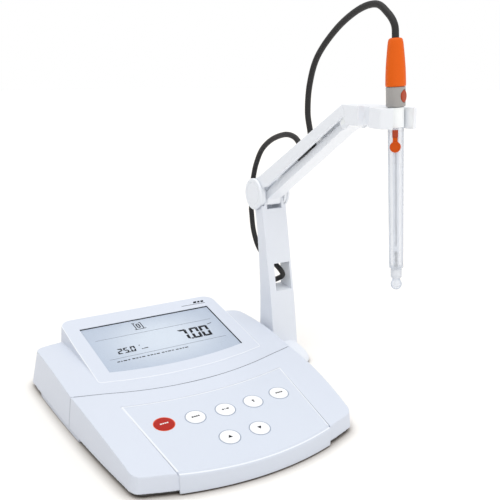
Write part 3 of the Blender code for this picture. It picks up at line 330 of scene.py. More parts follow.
# ==================================================================== helpers
def finish_ob(ob, mat, smooth=30.0):
    ob.data.materials.clear()
    ob.data.materials.append(mat)
    if smooth:
        ob.data.shade_smooth()
        ob.data.set_sharp_from_angle(angle=math.radians(smooth))
    return ob


def from_bm(name, bm, mat, smooth=30.0):
    bmesh.ops.recalc_face_normals(bm, faces=bm.faces[:])
    if bm.calc_volume(signed=True) < 0:
        bmesh.ops.reverse_faces(bm, faces=bm.faces[:])
    me = bpy.data.meshes.new(name)
    bm.to_mesh(me)
    bm.free()
    ob = bpy.data.objects.new(name, me)
    bpy.context.scene.collection.objects.link(ob)
    return finish_ob(ob, mat, smooth)


def vert(bm, p):
    return bm.verts.new((p[0] * MM + OFF.x, p[1] * MM + OFF.y, p[2] * MM))


def prism(name, poly, axis, a0, a1, mat, smooth=30.0):
    bm = bmesh.new()

    def put(p, a):
        u, v = p
        return vert(bm, (a, u, v) if axis == 'x' else (u, a, v) if axis == 'y' else (u, v, a))
    lo = [put(p, a0) for p in poly]
    hi = [put(p, a1) for p in poly]
    bm.faces.new(lo)
    bm.faces.new(hi)
    for i in range(len(poly)):
        j = (i + 1) % len(poly)
        bm.faces.new((lo[i], lo[j], hi[j], hi[i]))
    return from_bm(name, bm, mat, smooth)


def box(name, x0, x1, y0, y1, z0, z1, mat):
    return prism(name, [(x0, y0), (x1, y0), (x1, y1), (x0, y1)], 'z', z0, z1, mat, 0)


def frame_on(direction):
    d = Vector(direction).normalized()
    ref = Vector((0, 0, 1)) if abs(d.z) < 0.9 else Vector((1, 0, 0))
    u = d.cross(ref).normalized()
    return u, d.cross(u).normalized(), d


def rings_mesh(name, rings, mat, smooth=30.0, closed=False):
    bm = bmesh.new()
    R = [[vert(bm, p) for p in r] for r in rings]
    pairs = list(zip(R, R[1:])) + ([(R[-1], R[0])] if closed else [])
    for a, b in pairs:
        n = max(len(a), len(b))
        for k in range(n):
            k2 = (k + 1) % n
            if len(a) == 1 and len(b) == 1:
                continue
            if len(a) == 1:
                bm.faces.new((a[0], b[k], b[k2]))
            elif len(b) == 1:
                bm.faces.new((a[k], a[k2], b[0]))
            else:
                bm.faces.new((a[k], a[k2], b[k2], b[k]))
    if not closed:
        if len(R[0]) > 1:
            bm.faces.new(R[0])
        if len(R[-1]) > 1:
            bm.faces.new(R[-1])
    return from_bm(name, bm, mat, smooth)


def turned(name, origin, direction, profile, mat, seg=64, smooth=30.0, closed=False):
    u, v, d = frame_on(direction)
    o = Vector(origin)
    rings = []
    for a, r in profile:
        if r < 1e-6:
            rings.append([o + d * a])
        else:
            rings.append([o + d * a + (u * math.cos(t) + v * math.sin(t)) * r
                          for t in (2 * math.pi * k / seg for k in range(seg))])
    return rings_mesh(name, rings, mat, smooth, closed)


def cyl(name, origin, direction, length, r, mat, seg=48):
    return turned(name, origin, direction, [(0, 0), (0, r), (length, r), (length, 0)], mat, seg)


def round_profile(pts, r=0.4, n=4):
    """Rounds the convex and concave corners of a (along, radius) profile."""
    out = [pts[0]]
    for i in range(1, len(pts) - 1):
        p0, p, p1 = Vector(pts[i - 1]), Vector(pts[i]), Vector(pts[i + 1])
        a, b = p0 - p, p1 - p
        if a.length < 1e-6 or b.length < 1e-6:
            out.append(pts[i])
            continue
        k = min(r, a.length * 0.45, b.length * 0.45)
        s, e = p + a.normalized() * k, p + b.normalized() * k
        for j in range(n + 1):
            t = j / n
            q = s * (1 - t) ** 2 + p * 2 * t * (1 - t) + e * t * t
            out.append((q.x, q.y))
    out.append(pts[-1])
    return out


def catmull(ctrl, per=5):
    c = [Vector(p) for p in ctrl]
    c = [c[0] * 2 - c[1]] + c + [c[-1] * 2 - c[-2]]
    out = []
    for i in range(1, len(c) - 2):
        p0, p1, p2, p3 = c[i - 1:i + 3]
        for k in range(per):
            t = k / per
            out.append(0.5 * ((2 * p1) + (p2 - p0) * t + (2 * p0 - 5 * p1 + 4 * p2 - p3) * t * t
                              + (3 * p1 - p0 - 3 * p2 + p3) * t ** 3))
    out.append(c[-2])
    return out


def sweep(name, pts, r, mat, seg=20):
    n = len(pts)
    tang = [(pts[min(i + 1, n - 1)] - pts[max(i - 1, 0)]).normalized() for i in range(n)]
    ref = Vector((1, 0, 0)) if abs(tang[0].x) < 0.9 else Vector((0, 1, 0))
    u = (ref - tang[0] * ref.dot(tang[0])).normalized()
    rings = []
    for p, t in zip(pts, tang):
        u = (u - t * u.dot(t)).normalized()
        w = t.cross(u)
        rings.append([p + (u * math.cos(a) + w * math.sin(a)) * r
                      for a in (2 * math.pi * k / seg for k in range(seg))])
    return rings_mesh(name, rings, mat, 60)


def apply_modifier(ob, m):
    bpy.context.view_layer.update()
    me = bpy.data.meshes.new_from_object(ob.evaluated_get(bpy.context.evaluated_depsgraph_get()))
    ob.modifiers.clear()
    old = ob.data
    mats = list(old.materials)
    ob.data = me
    me.materials.clear()
    for s in mats:
        me.materials.append(s)
    me.polygons.foreach_set("material_index", [0] * len(me.polygons))
    bpy.data.meshes.remove(old)
    me.name = ob.name
    return ob


SOLVER = 'MANIFOLD' if 'MANIFOLD' in [i.identifier for i in
                                      bpy.types.BooleanModifier.bl_rna.properties['solver'].enum_items] else 'EXACT'


def boolean(ob, tool, op, solver=None):
    before = len(ob.data.polygons)
    for s in ([solver] if solver else [SOLVER, 'EXACT']):
        m = ob.modifiers.new("b", 'BOOLEAN')
        m.operation, m.object, m.solver = op, tool, s
        bpy.context.view_layer.update()
        ev = ob.evaluated_get(bpy.context.evaluated_depsgraph_get())
        if len(ev.data.polygons) > 8 and len(ev.data.polygons) != before:
            apply_modifier(ob, m)
            break
        ob.modifiers.clear()
    bpy.data.objects.remove(tool, do_unlink=True)
    ob.data.shade_smooth()
    ob.data.set_sharp_from_angle(angle=math.radians(30))
    return ob


def cut(ob, tool):
    return boolean(ob, tool, 'DIFFERENCE')


def join(ob, tool):
    return boolean(ob, tool, 'UNION')


def soften(ob, voxel, rounds, factor=0.5):
    """Fuses the pieces of a form into one skin and rounds its edges."""
    m = ob.modifiers.new("v", 'REMESH')
    m.mode = 'VOXEL'
    m.voxel_size = voxel * MM
    m.adaptivity = 0.0
    m.use_smooth_shade = True
    s = ob.modifiers.new("s", 'SMOOTH')
    s.factor, s.iterations = factor, rounds
    apply_modifier(ob, m)
    ob.data.shade_smooth()
    return ob


def merge(name, obs, mat):
    """One object holding several closed, overlapping forms, before softening."""
    bm = bmesh.new()
    for o in obs:
        bm.from_mesh(o.data)
    me = bpy.data.meshes.new(name)
    bm.to_mesh(me)
    bm.free()
    for o in obs:
        bpy.data.objects.remove(o, do_unlink=True)
    ob = bpy.data.objects.new(name, me)
    bpy.context.scene.collection.objects.link(ob)
    ob.data.materials.append(mat)
    return ob


def bevel(ob, width, seg=3, angle=35.0):
    m = ob.modifiers.new("bv", 'BEVEL')
    m.width, m.segments = width * MM, seg
    m.limit_method, m.angle_limit = 'ANGLE', math.radians(angle)
    m.use_clamp_overlap = True
    apply_modifier(ob, m)
    ob.data.shade_smooth()
    ob.data.set_sharp_from_angle(angle=math.radians(40))
    return ob


def smooth01(t):
    t = min(max(t, 0.0), 1.0)
    return t * t * (3 - 2 * t)


def inset(outline, d):
    """Outline moved inwards by d (outline counter-clockwise or clockwise)."""
    n = len(outline)
    area = sum(outline[i][0] * outline[(i + 1) % n][1] - outline[(i + 1) % n][0] * outline[i][1] for i in range(n))
    s = 1.0 if area > 0 else -1.0
    out = []
    for i in range(n):
        p0, p, p1 = Vector(outline[i - 1]), Vector(outline[i]), Vector(outline[(i + 1) % n])
        a, b = (p - p0), (p1 - p)
        if a.length < 1e-9 or b.length < 1e-9:
            out.append((p.x, p.y))
            continue
        a.normalize()
        b.normalize()
        na, nb = Vector((-a.y, a.x)) * s, Vector((-b.y, b.x)) * s
        m = na + nb
        if m.length < 1e-6:
            m = na
        m.normalize()
        k = d / max(m.dot(na), 0.35)
        out.append((p.x + m.x * k, p.y + m.y * k))
    return out


def plate(name, outline, steps, plane, mat, smooth=30.0):
    """Plate that follows a tilted plane: steps are (inset, height above plane)."""
    rings = []
    for d, h in steps:
        o = inset(outline, d) if abs(d) > 1e-9 else outline
        rings.append([(x, y, plane(y) + h) for x, y in o])
    return rings_mesh(name, rings, mat, smooth)


def ring_plate(name, outline, loops, plane, mat):
    """Closed loop of material along an outline: loops are (inset, height)."""
    rings = [[(x, y, plane(y) + h) for x, y in inset(outline, d)] for d, h in loops]
    return rings_mesh(name, rings, mat, 30, closed=True)


def arc2(cx, cy, r, a0, a1, n):
    return [(cx + r * math.cos(math.radians(a0 + (a1 - a0) * k / n)),
             cy + r * math.sin(math.radians(a0 + (a1 - a0) * k / n))) for k in range(n + 1)]


SHOW = []


def ship(ob, body, slot, *nodes):
    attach(ob, body)
    if nodes:
        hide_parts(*nodes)
    SHOW.append(ob)
    return ob


# ============================================================ case form functions
def side_half(y):
    t = y / 100.0
    return 93.0 + 5.637 * t - 4.103 * t * t + 0.428 * t ** 3


def draft(y):
    return 2.4 + 0.0255 * y + 0.0001115 * y * y


def side_z(y):
    t = y / 100.0
    return 27.26 + (12.45 * t - 11.23 * t * t if y >= 0 else 1.38 * t - 11.84 * t * t)


def seam(x):
    return SEAM_Y0 + SEAM_C * x * x


def front(x):
    return FRONT_Y0 + FRONT_C * x * x


def key_plane(y):
    return KEY_PLANE_Z0 + KEY_SLOPE * y


def disp_plane(y):
    return DISP_PLANE_Z0 + DISP_SLOPE * y


def front_top(x, y):
    h = side_half(y)
    w = smooth01((abs(x) - 64.0) / max(h - 64.0, 1.0))
    return key_plane(y) * (1 - w) + side_z(y) * w


def rear_top(x, y):
    h = side_half(y)
    apron = 27.14 + 0.04 * y
    k = smooth01((y + 10.0) / 26.0)
    mid = apron * (1 - k) + (side_z(y) + 1.3) * k
    x0 = 45.0 + 27.0 * k
    w = smooth01((abs(x) - x0) / (h - x0))
    return mid * (1 - w) + side_z(y) * w


def ease_cols(n, edge=0.12):
    """Column positions from -1 to 1, closer together near the sides."""
    out = []
    for k in range(n + 1):
        t = -1 + 2 * k / n
        out.append(math.copysign(1 - (1 - abs(t)) ** (1 + edge * 8 * (1 - abs(t)) * 0.0 + 1.35), t) if abs(t) > 0 else 0.0)
    return out


def grid_solid(name, top, bot, mat):
    bm = bmesh.new()
    T = [[vert(bm, p) for p in r] for r in top]
    B = [[vert(bm, p) for p in r] for r in bot]
    R, C = len(T), len(T[0])
    for j in range(R - 1):
        for i in range(C - 1):
            bm.faces.new((T[j][i], T[j][i + 1], T[j + 1][i + 1], T[j + 1][i]))
            bm.faces.new((B[j][i], B[j + 1][i], B[j + 1][i + 1], B[j][i + 1]))
    for i in range(C - 1):
        bm.faces.new((T[0][i], B[0][i], B[0][i + 1], T[0][i + 1]))
        bm.faces.new((T[-1][i], T[-1][i + 1], B[-1][i + 1], B[-1][i]))
    for j in range(R - 1):
        bm.faces.new((T[j][0], T[j + 1][0], B[j + 1][0], B[j][0]))
        bm.faces.new((T[j][-1], B[j][-1], B[j + 1][-1], T[j + 1][-1]))
    return from_bm(name, bm, mat)


def front_half(y, ins=0.0):
    r = CORNER_R - ins
    if y < CORNER_Y:
        return CORNER_X + math.sqrt(max(r * r - (y - CORNER_Y) ** 2, 0.0))
    return side_half(y) - ins


def front_form(name, ins, drop, z_bottom, y_shift, mat, nx=44, rows=None):
    rows = rows or ([(k / 16) ** 1.6 * 0.14 for k in range(17)] + [0.14 + 0.86 * k / 18 for k in range(1, 19)])
    cols = ease_cols(nx)
    top, bot = [], []
    for v in rows:
        def yrow(x, v=v):
            return (1 - v) * (front(x) + ins) + v * (seam(x) + y_shift)
        w = 78.0
        for _ in range(80):
            w = 0.5 * w + 0.5 * front_half(yrow(w), ins)
        rt, rb = [], []
        for f in cols:
            x = f * w
            y = yrow(x)
            z = front_top(x, y) - drop
            k = abs(f) ** 8
            dz = (z - z_bottom) / max(side_z(y) - COVER_BOTTOM, 1.0)
            xb = x + math.copysign(draft(y) * k * dz, x) if abs(x) > 1e-6 else x
            yb = y - 0.8 * max(0.0, 1 - v / 0.13) * dz
            rt.append((x, y, z))
            rb.append((xb, yb, z_bottom))
        top.append(rt)
        bot.append(rb)
    return grid_solid(name, top, bot, mat)


def shoulder_half(y, ins, y_rear, r):
    h = side_half(min(y, y_rear)) - ins
    d = y - (y_rear - r)
    if r > 0 and d > 0:
        h -= r - math.sqrt(max(r * r - d * d, 0.0))
    return h


def rear_form(name, ins, drop, z_bottom, y_shift, y_rear, mat, nx=40, r=9.0):
    rows = [0.0, 0.03, 0.06, 0.09, 0.12, 0.15, 0.18, 0.21, 0.25, 0.3, 0.36, 0.43, 0.5, 0.57, 0.64, 0.71, 0.78, 0.84, 0.89]
    rows += [0.905, 0.92, 0.935, 0.95, 0.962, 0.974, 0.984, 0.992, 0.997, 1.0]
    cols = ease_cols(nx)
    top, bot = [], []
    for v in rows:
        def yrow(x, v=v):
            return (1 - v) * (seam(x) + y_shift) + v * y_rear
        w = 90.0
        for _ in range(80):
            w = 0.5 * w + 0.5 * shoulder_half(yrow(w), ins, y_rear, r)
        rt, rb = [], []
        for f in cols:
            x = f * w
            y = yrow(x)
            z = rear_top(x, y) - drop
            k = abs(f) ** 10
            dz = (z - z_bottom) / max(side_z(y) - COVER_BOTTOM, 1.0)
            xb = x + math.copysign(draft(y) * k * dz, x) if abs(x) > 1e-6 else x
            yb = y + (2.0 * dz if v > 0.995 else 0.0)
            rt.append((x, y, z))
            rb.append((xb, yb, z_bottom))
        top.append(rt)
        bot.append(rb)
    return grid_solid(name, top, bot, mat)


def housing_outline(grow=0.0, rear_r=10.0, front_r=3.0):
    """Plan of the display housing: bowed front, nearly straight sides, round rear corners."""
    hf, hr = 69.8 + grow, 71.6 + grow
    y_r = HOUSING_REAR + grow * 0.6
    pts = []
    n = 40
    for k in range(n + 1):
        x = -hf + front_r * 0.5 + 2 * (hf - front_r * 0.5) * k / n
        pts.append((x, HOUSING_Y0 - grow * 0.3 + HOUSING_C * x * x))
    pts += [(hf - 0.25, HOUSING_Y0 + HOUSING_C * hf * hf + 0.9), (hf, HOUSING_Y0 + HOUSING_C * hf * hf + 2.6)]
    pts += [(hr - 0.3 * (y_r - rear_r - 60.0) / 40.0, 60.0)]
    pts += arc2(hr - rear_r, y_r - rear_r, rear_r, 0, 90, 12)
    pts += [(x, y_r) for x in (40.0, 20.0, 0.0, -20.0, -40.0)]
    pts += arc2(-hr + rear_r, y_r - rear_r, rear_r, 90, 180, 12)
    pts += [(-hr + 0.3 * (y_r - rear_r - 60.0) / 40.0, 60.0)]
    pts += [(-hf, HOUSING_Y0 + HOUSING_C * hf * hf + 2.6), (-hf + 0.25, HOUSING_Y0 + HOUSING_C * hf * hf + 0.9)]
    return pts


def housing_form(name, mat, z_bottom):
    top = housing_outline(0.0)
    rings = [[(x, y, z_bottom) for x, y in housing_outline(3.3)],
             [(x, y, disp_plane(y)) for x, y in top]]
    return rings_mesh(name, rings, mat)


# ====================================================================== covers
print("case covers")
VOX = 0.5
rear = merge("case_rear_cover", [rear_form("t", 0.0, 0.0, COVER_BOTTOM, -5.0, SHOULDER_REAR, WHITE),
                                 housing_form("t2", WHITE, COVER_BOTTOM)], WHITE)
soften(rear, VOX, 3)


def seam_tool(name, side):
    """Everything in front of (side -1) or behind (side +1) the seam between the covers."""
    n = 60
    c = [(-110 + 220 * k / n, seam(-110 + 220 * k / n) + side * 0.38) for k in range(n + 1)]
    far = [(110.0, -side * -60.0 - 40.0 if side > 0 else -160.0), (-110.0, 0.0)]
    if side < 0:      # removes what lies at the rear
        poly = c + [(110.0, 160.0), (-110.0, 160.0)]
    else:             # removes what lies at the front
        poly = c + [(110.0, -160.0), (-110.0, -160.0)]
    return prism(name, poly, 'z', -10, 80, WHITE, 0)


def cavity_rear():
    rows, cols = [0.0, 0.2, 0.4, 0.6, 0.8, 1.0], [-1, -0.9, -0.77, -0.4, 0, 0.4, 0.77, 0.9, 1]
    top, bot = [], []
    y_rear = SHOULDER_REAR - 5.5
    for v in rows:
        def yrow(x, v=v):
            return (1 - v) * (seam(x) - 7.0) + v * y_rear
        w = 90.0
        for _ in range(60):
            w = 0.5 * w + 0.5 * (side_half(yrow(w)) - WALL - 0.3 - (1.6 if v == 1.0 else 0.0))
        rt, rb = [], []
        for f in cols:
            x, y = f * w, yrow(f * w)
            z = min(rear_top(x, y), rear_top(0, min(y, 0))) - WALL - 0.4 if y < 4 else rear_top(x, y) - WALL - 0.4
            rt.append((x, y, z))
            rb.append((x + math.copysign(draft(y) * (abs(f) ** 10), x) if f else x, y, 1.5))
        top.append(rt)
        bot.append(rb)
    return grid_solid("t", top, bot, WHITE)


cut(rear, seam_tool("t", +1))
cut(rear, cavity_rear())
cut(rear, rings_mesh("t", [[(x, y, 1.2) for x, y in inset(housing_outline(3.3), 2.6)],
                           [(x, y, disp_plane(y) - WALL) for x, y in inset(housing_outline(0.0), 2.6)]], WHITE))


def bowed(y0, c, hf, hr, y_rear, grow=0.0, n=40, rear_c=0.0, nr=2):
    pts = []
    for k in range(n + 1):
        x = (-hf - grow) + 2 * (hf + grow) * k / n
        pts.append((x, y0 + c * x * x - grow))
    for k in range(nr + 1):
        x = (hr + grow) - 2 * (hr + grow) * k / nr
        pts.append((x, y_rear + rear_c * x * x + grow))
    return pts


def round_corners(outline, r, n=5, angle=25.0):
    """Rounds the sharp corners of an outline."""
    out = []
    m = len(outline)
    for i in range(m):
        p0, p, p1 = Vector(outline[i - 1]), Vector(outline[i]), Vector(outline[(i + 1) % m])
        a, b = p0 - p, p1 - p
        if a.length < 1e-9 or b.length < 1e-9:
            continue
        if math.degrees(math.pi - a.angle(b)) < angle:
            out.append((p.x, p.y))
            continue
        k = min(r, a.length * 0.8, b.length * 0.8)
        s, e = p + a.normalized() * k, p + b.normalized() * k
        for j in range(n + 1):
            t = j / n
            q = s * (1 - t) ** 2 + p * 2 * t * (1 - t) + e * t * t
            out.append((q.x, q.y))
    return out


LCD_OUT = bowed(LCD_FRONT_Y0, LCD_FRONT_C, LCD_HALF_FRONT, LCD_HALF_REAR, LCD_REAR, 0.0, 40)
cut(rear, prism("t", LCD_OUT, 'z', 14.0, 60.0, WHITE))


def rear_wall_y(z):
    return HOUSING_REAR + 0.05 * (disp_plane(HOUSING_REAR) - z)


BNC_X, TEMP_X, PWR_X, CONN_Z = 48.0, 18.0, -42.0, 21.0
for cx, cr in ((BNC_X, 5.3), (TEMP_X, 4.6), (PWR_X, 4.6)):
    cut(rear, cyl("t", (cx, 98, CONN_Z), (0, 1, 0), 20, cr, WHITE))
ship(rear, "root", "case", "rear_cover")

# plain printed rule and bars at the rear right of the housing
bm = bmesh.new()
for poly in ([(37.3, 94.7), (60.8, 94.1), (60.9, 94.7), (37.4, 95.3)],
             [(49.9, 96.6), (53.0, 96.5), (54.3, 99.5), (51.2, 99.6)],
             [(54.0, 96.5), (56.2, 96.4), (57.5, 99.3), (55.3, 99.4)],
             [(57.2, 96.3), (59.9, 96.2), (61.2, 99.2), (58.5, 99.3)]):
    lo = [vert(bm, (x, y, disp_plane(y) - 0.2)) for x, y in poly]
    hi = [vert(bm, (x, y, disp_plane(y) + 0.05)) for x, y in poly]
    bm.faces.new(list(reversed(lo)))
    bm.faces.new(hi)
    for i in range(4):
        j = (i + 1) % 4
        bm.faces.new((lo[i], lo[j], hi[j], hi[i]))
ship(from_bm("housing_print_bars", bm, INK, 0), "root", "case")

frontc = front_form("case_front_cover", 0.0, 0.0, COVER_BOTTOM, 5.0, WHITE)
soften(frontc, VOX, 3)
cut(frontc, seam_tool("t", -1))
cut(frontc, front_form("t", WALL, 3.6, 1.5, 8.0, WHITE, 12, [0.0, 0.03, 0.08, 0.14, 0.4, 0.7, 1.0]))


def panel_half(v):
    return PANEL_HALF_REAR * (1 - v) + PANEL_HALF_FRONT * v


PANEL_OUT = bowed(PANEL_FRONT_Y0, PANEL_FRONT_C, PANEL_HALF_FRONT, PANEL_HALF_REAR, PANEL_TOP_Y0, 0.0, 40,
                  PANEL_TOP_C, 40)
POCKET = bowed(PANEL_FRONT_Y0 - 4.0, PANEL_FRONT_C, PANEL_HALF_FRONT, PANEL_HALF_REAR, PANEL_TOP_Y0, 0.24, 40,
               PANEL_TOP_C, 40)
cut(frontc, plate("t", POCKET, [(0, -1.4), (0, 6.0)], key_plane, WHITE))
cut(frontc, plate("t", [(-56, -99), (56, -99), (56, -49), (-56, -49)], [(0, -9.0), (0, 2.0)], key_plane, WHITE))
ship(frontc, "root", "case", "front_cover")

# tongue of the front cover that closes the seam from inside; its dark grey is painted shade of the gap between the
# covers
def skin_tree(ob):
    return BVHTree.FromPolygons([v.co.copy() for v in ob.data.vertices], [list(f.vertices) for f in ob.data.polygons])


def skin_height(trees, x, z0):
    """Height of the finished covers beside the seam, near the drawn height z0."""
    best = None
    for tree, dy in trees:
        hit = tree.ray_cast(Vector((x * MM + OFF.x, (seam(x) + dy) * MM + OFF.y, 0.2)), Vector((0, 0, -1)))[0]
        if hit is not None and abs(hit.z / MM - z0) < 1.2:
            best = hit.z / MM if best is None else max(best, hit.z / MM)
    return z0 if best is None else best


def seam_tongue():
    path = []
    trees = ((skin_tree(rear), 0.8), (skin_tree(frontc), -0.8))
    n = 60
    h0 = side_half(seam(-93.0))
    y0 = seam(-h0)
    for z in (3.3, 9.0, 15.0, 20.0, side_z(y0) - 1.2):
        k = (side_z(y0) - z) / (side_z(y0) - COVER_BOTTOM)
        path.append((-(h0 + draft(y0) * k - 0.05), z, -(h0 + draft(y0) * k - 2.1), z if z > 4 else 3.3))
    path[-1] = (path[-1][0], path[-1][1], path[-1][2], path[-1][1] - 1.0)
    for i in range(n + 1):
        x = -(h0 - 2.6) + 2 * (h0 - 2.6) * i / n
        z = min(front_top(x, seam(x)), rear_top(x, seam(x)))
        path.append((x, skin_height(trees, x, z) + 0.10, x * 0.985, z - 2.1))
    path += [(-a, b, -c, d) for a, b, c, d in reversed(path[:5])]
    rings = []
    for a, b, c, d in path:
        y = seam(a)
        rings.append([(a, y - 0.34, b), (a, y + 0.34, b), (c, y + 0.34, d), (c, y - 0.34, d)])
    return rings_mesh("cover_seam_tongue", rings, SEAM_PAINTED_SHADE, 30)


ship(seam_tongue(), "root", "case")

# fine raised edge round the display housing's face, coloured lighter than the case as a painted highlight
bm = bmesh.new()
outl = housing_outline(0.0)
loops = [[vert(bm, (x, y, disp_plane(y) + lift)) for x, y in inset(outl, d)]
         for d, lift in ((0.02, -0.75), (0.04, -0.35), (0.22, -0.04), (0.50, 0.05), (0.74, 0.03), (0.80, -0.5))]
for a, b in zip(loops, loops[1:] + loops[:1]):
    n = len(a)
    for k in range(n):
        bm.faces.new((a[k], a[(k + 1) % n], b[(k + 1) % n], b[k]))
ship(from_bm("housing_edge_highlight_bead", bm, HIGHLIGHT_BEAD, 40), "root", "case")

# ------------------------------------------------------------------ keypad panel
print("keypad")


def panel_point(v, f, lift):
    """Point on the panel's outer face: v from the rear edge to the front edge."""
    hw = panel_half(v) + 0.18
    x = f * hw
    y = (1 - v) * (PANEL_TOP_Y0 + PANEL_TOP_C * x * x) + v * (PANEL_FRONT_Y0 + PANEL_FRONT_C * x * x)
    return Vector((x, y, key_plane(y) + 0.35 + lift))


def panel_solid():
    edge_cols = [(-1.0, -0.42), (-0.996, -0.20), (-0.991, -0.06), (-0.984, 0.0)]
    mid = [(-0.984 + 1.968 * k / 36, 0.0) for k in range(1, 36)]
    cols = edge_cols + mid + [(-f, l) for f, l in reversed(edge_cols)]
    rows = [(0.0, -0.42), (0.004, -0.20), (0.009, -0.06), (0.015, 0.0)]
    rows += [(0.015 + 0.953 * k / 20, 0.0) for k in range(1, 21)]
    outer, inner = [], []
    n_y = Vector((0, -KEY_SLOPE, 1)).normalized()
    for v, l in rows:
        outer.append([panel_point(v, f, l + le) for f, le in cols])
        inner.append([panel_point(v, f, -1.35) for f, le in cols])
    # fold over the front wall, radius about 2 mm, then down to the table side
    base = [panel_point(1.0, f, le) for f, le in cols]
    for a in (0, 20, 40, 60, 80):
        ro, ri = [], []
        for i, (f, le) in enumerate(cols):
            p = base[i]
            c = Vector((p.x, p.y + 1.9, p.z - 1.9 - 0.26))
            t = math.radians(90 + a)
            r = 1.9 + le
            if abs(f) < 0.984:
                r = 1.9
            ro.append((p.x, c.y + r * math.cos(t), c.z + r * math.sin(t)))
            ri.append((p.x, c.y + 0.45 * math.cos(t), c.z + 0.45 * math.sin(t)))
        outer.append(ro)
        inner.append(ri)
    for z in (14.0, 8.0, 3.0, 1.35, 1.0):
        ro, ri = [], []
        for i, (f, le) in enumerate(cols):
            p = base[i]
            lean = 0.75 * (p.z - z) / 13.0
            inw = (-le if abs(f) >= 0.984 else 0.0) + (0.25 if z == 1.0 else 0.0)
            zz = min(z, p.z - 2.6)
            ro.append((p.x, p.y - lean + inw, zz))
            ri.append((p.x, p.y - lean + 1.2, zz))
        outer.append(ro)
        inner.append(ri)
    bm = bmesh.new()
    T = [[vert(bm, p) for p in r] for r in outer]
    B = [[vert(bm, p) for p in r] for r in inner]
    R, C = len(T), len(T[0])
    for j in range(R - 1):
        for i in range(C - 1):
            bm.faces.new((T[j][i], T[j][i + 1], T[j + 1][i + 1], T[j + 1][i]))
            bm.faces.new((B[j][i], B[j + 1][i], B[j + 1][i + 1], B[j][i + 1]))
    for i in range(C - 1):
        bm.faces.new((T[0][i], B[0][i], B[0][i + 1], T[0][i + 1]))
        bm.faces.new((T[-1][i], T[-1][i + 1], B[-1][i + 1], B[-1][i]))
    for j in range(R - 1):
        bm.faces.new((T[j][0], T[j + 1][0], B[j + 1][0], B[j][0]))
        bm.faces.new((T[j][-1], B[j][-1], B[j + 1][-1], T[j + 1][-1]))
    return from_bm("keypad_overlay_panel", bm, PANEL, 35)


panel = panel_solid()
KEY_N = Vector((0.0, -KEY_SLOPE, 1.0)).normalized()
KEY_V = Vector((0.0, 1.0, KEY_SLOPE)).normalized()
KEY_U = Vector((1.0, 0.0, 0.0))
for nm, kx, ky in KEYS:
    c = Vector((kx, ky, key_plane(ky)))
    cut(panel, cyl("t", c - KEY_N * 6, KEY_N, 12.0, KEY_D / 2 + 0.28, PANEL, 64))
ship(panel, "root", "panel", "keypad_panel")


def bead_strip(bm, rows):
    R = [[vert(bm, p) for p in r] for r in rows]
    bm.faces.new(list(reversed(R[0])))
    bm.faces.new(R[-1])
    for a, b in zip(R, R[1:]):
        n = len(a)
        for k in range(n):
            bm.faces.new((a[k], a[(k + 1) % n], b[(k + 1) % n], b[k]))


# lighter beads along the panel's side, rear and front-fold edges: a painted highlight
bm = bmesh.new()
for sgn in (-1.0, 1.0):      # the two side edges
    rows = []
    for k in range(25):
        v = 0.006 + 0.958 * k / 24
        rows.append([panel_point(v, sgn * f, l) for f, l in ((1.001, -0.50), (1.001, -0.40), (0.996, -0.15), (0.991, 0.0),
                                                              (0.986, 0.05), (0.982, 0.05), (0.982, -0.3))])
    bead_strip(bm, rows)
rows = []
for k in range(49):          # the rear edge
    f = -0.984 + 1.968 * k / 48
    rows.append([panel_point(v, f, l) for v, l in ((-0.0006, -0.50), (-0.0006, -0.38), (0.004, -0.14), (0.009, 0.0), (0.013, 0.05),
                                                   (0.017, 0.05), (0.017, -0.3))])
bead_strip(bm, rows)
rows = []
for k in range(49):          # the fold at the front
    f = -0.996 + 1.992 * k / 48
    p = panel_point(1.0, f, 0.0)
    c = Vector((p.x, p.y + 1.9, p.z - 1.9 - 0.26))
    ro = [(c.x, c.y + r * math.cos(math.radians(90 + a)), c.z + r * math.sin(math.radians(90 + a)))
          for r, a in ((1.7, 16), (1.93, 19), (1.97, 26), (1.97, 36), (1.93, 43), (1.7, 46))]
    rows.append(ro)
bead_strip(bm, rows)
ship(from_bm("panel_edge_highlight_bead", bm, HIGHLIGHT_BEAD, 40), "root", "panel")

for nm, kx, ky in KEYS:
    c = Vector((kx, ky, key_plane(ky)))
    r = KEY_D / 2
    body = nm + "_body"
    cap = turned(nm + "_cap", c, KEY_N,
                 [(-3.6, 0), (-3.6, 3.2), (-1.2, 3.4), (-1.2, r - 0.05), (0.42, r - 0.05), (0.56, r - 0.12), (0.68, r - 0.3),
                  (0.78, r - 0.62), (0.86, r - 1.2), (0.92, r * 0.62), (0.97, r * 0.3), (0.99, 0)],
                 KEYR if nm == "key_red" else KEYW, 96)
    ship(cap, body, "key_red" if nm == "key_red" else "key_white", nm)
    # printed ring in the well round the key
    turned_rim = turned(nm + "_rim", c, KEY_N, [(0.02, r + 0.02), (0.02, r + 0.26), (0.362, r + 0.26), (0.40, r + 0.62),
                                                (0.43, r + 0.62), (0.40, r + 0.02)],
                        RIMR if nm == "key_red" else RIMB, 96, 30, True)
    ship(turned_rim, "root", "panel")


def on_key(kx, ky, u, v, h):
    c = Vector((kx, ky, key_plane(ky)))
    return c + KEY_U * u + KEY_V * v + KEY_N * h


def mark(name, kx, ky, polys, mat, body, slot, h0=0.80, h1=1.03):
    """Small raised print on a key: several little prisms in one piece."""
    bm = bmesh.new()
    for poly in polys:
        lo = [vert(bm, on_key(kx, ky, u, v, h0)) for u, v in poly]
        hi = [vert(bm, on_key(kx, ky, u, v, h1)) for u, v in poly]
        bm.faces.new(list(reversed(lo)))
        bm.faces.new(hi)
        for i in range(len(poly)):
            j = (i + 1) % len(poly)
            bm.faces.new((lo[i], lo[j], hi[j], hi[i]))
    ob = from_bm(name, bm, mat, 0)
    return ship(ob, body, slot)


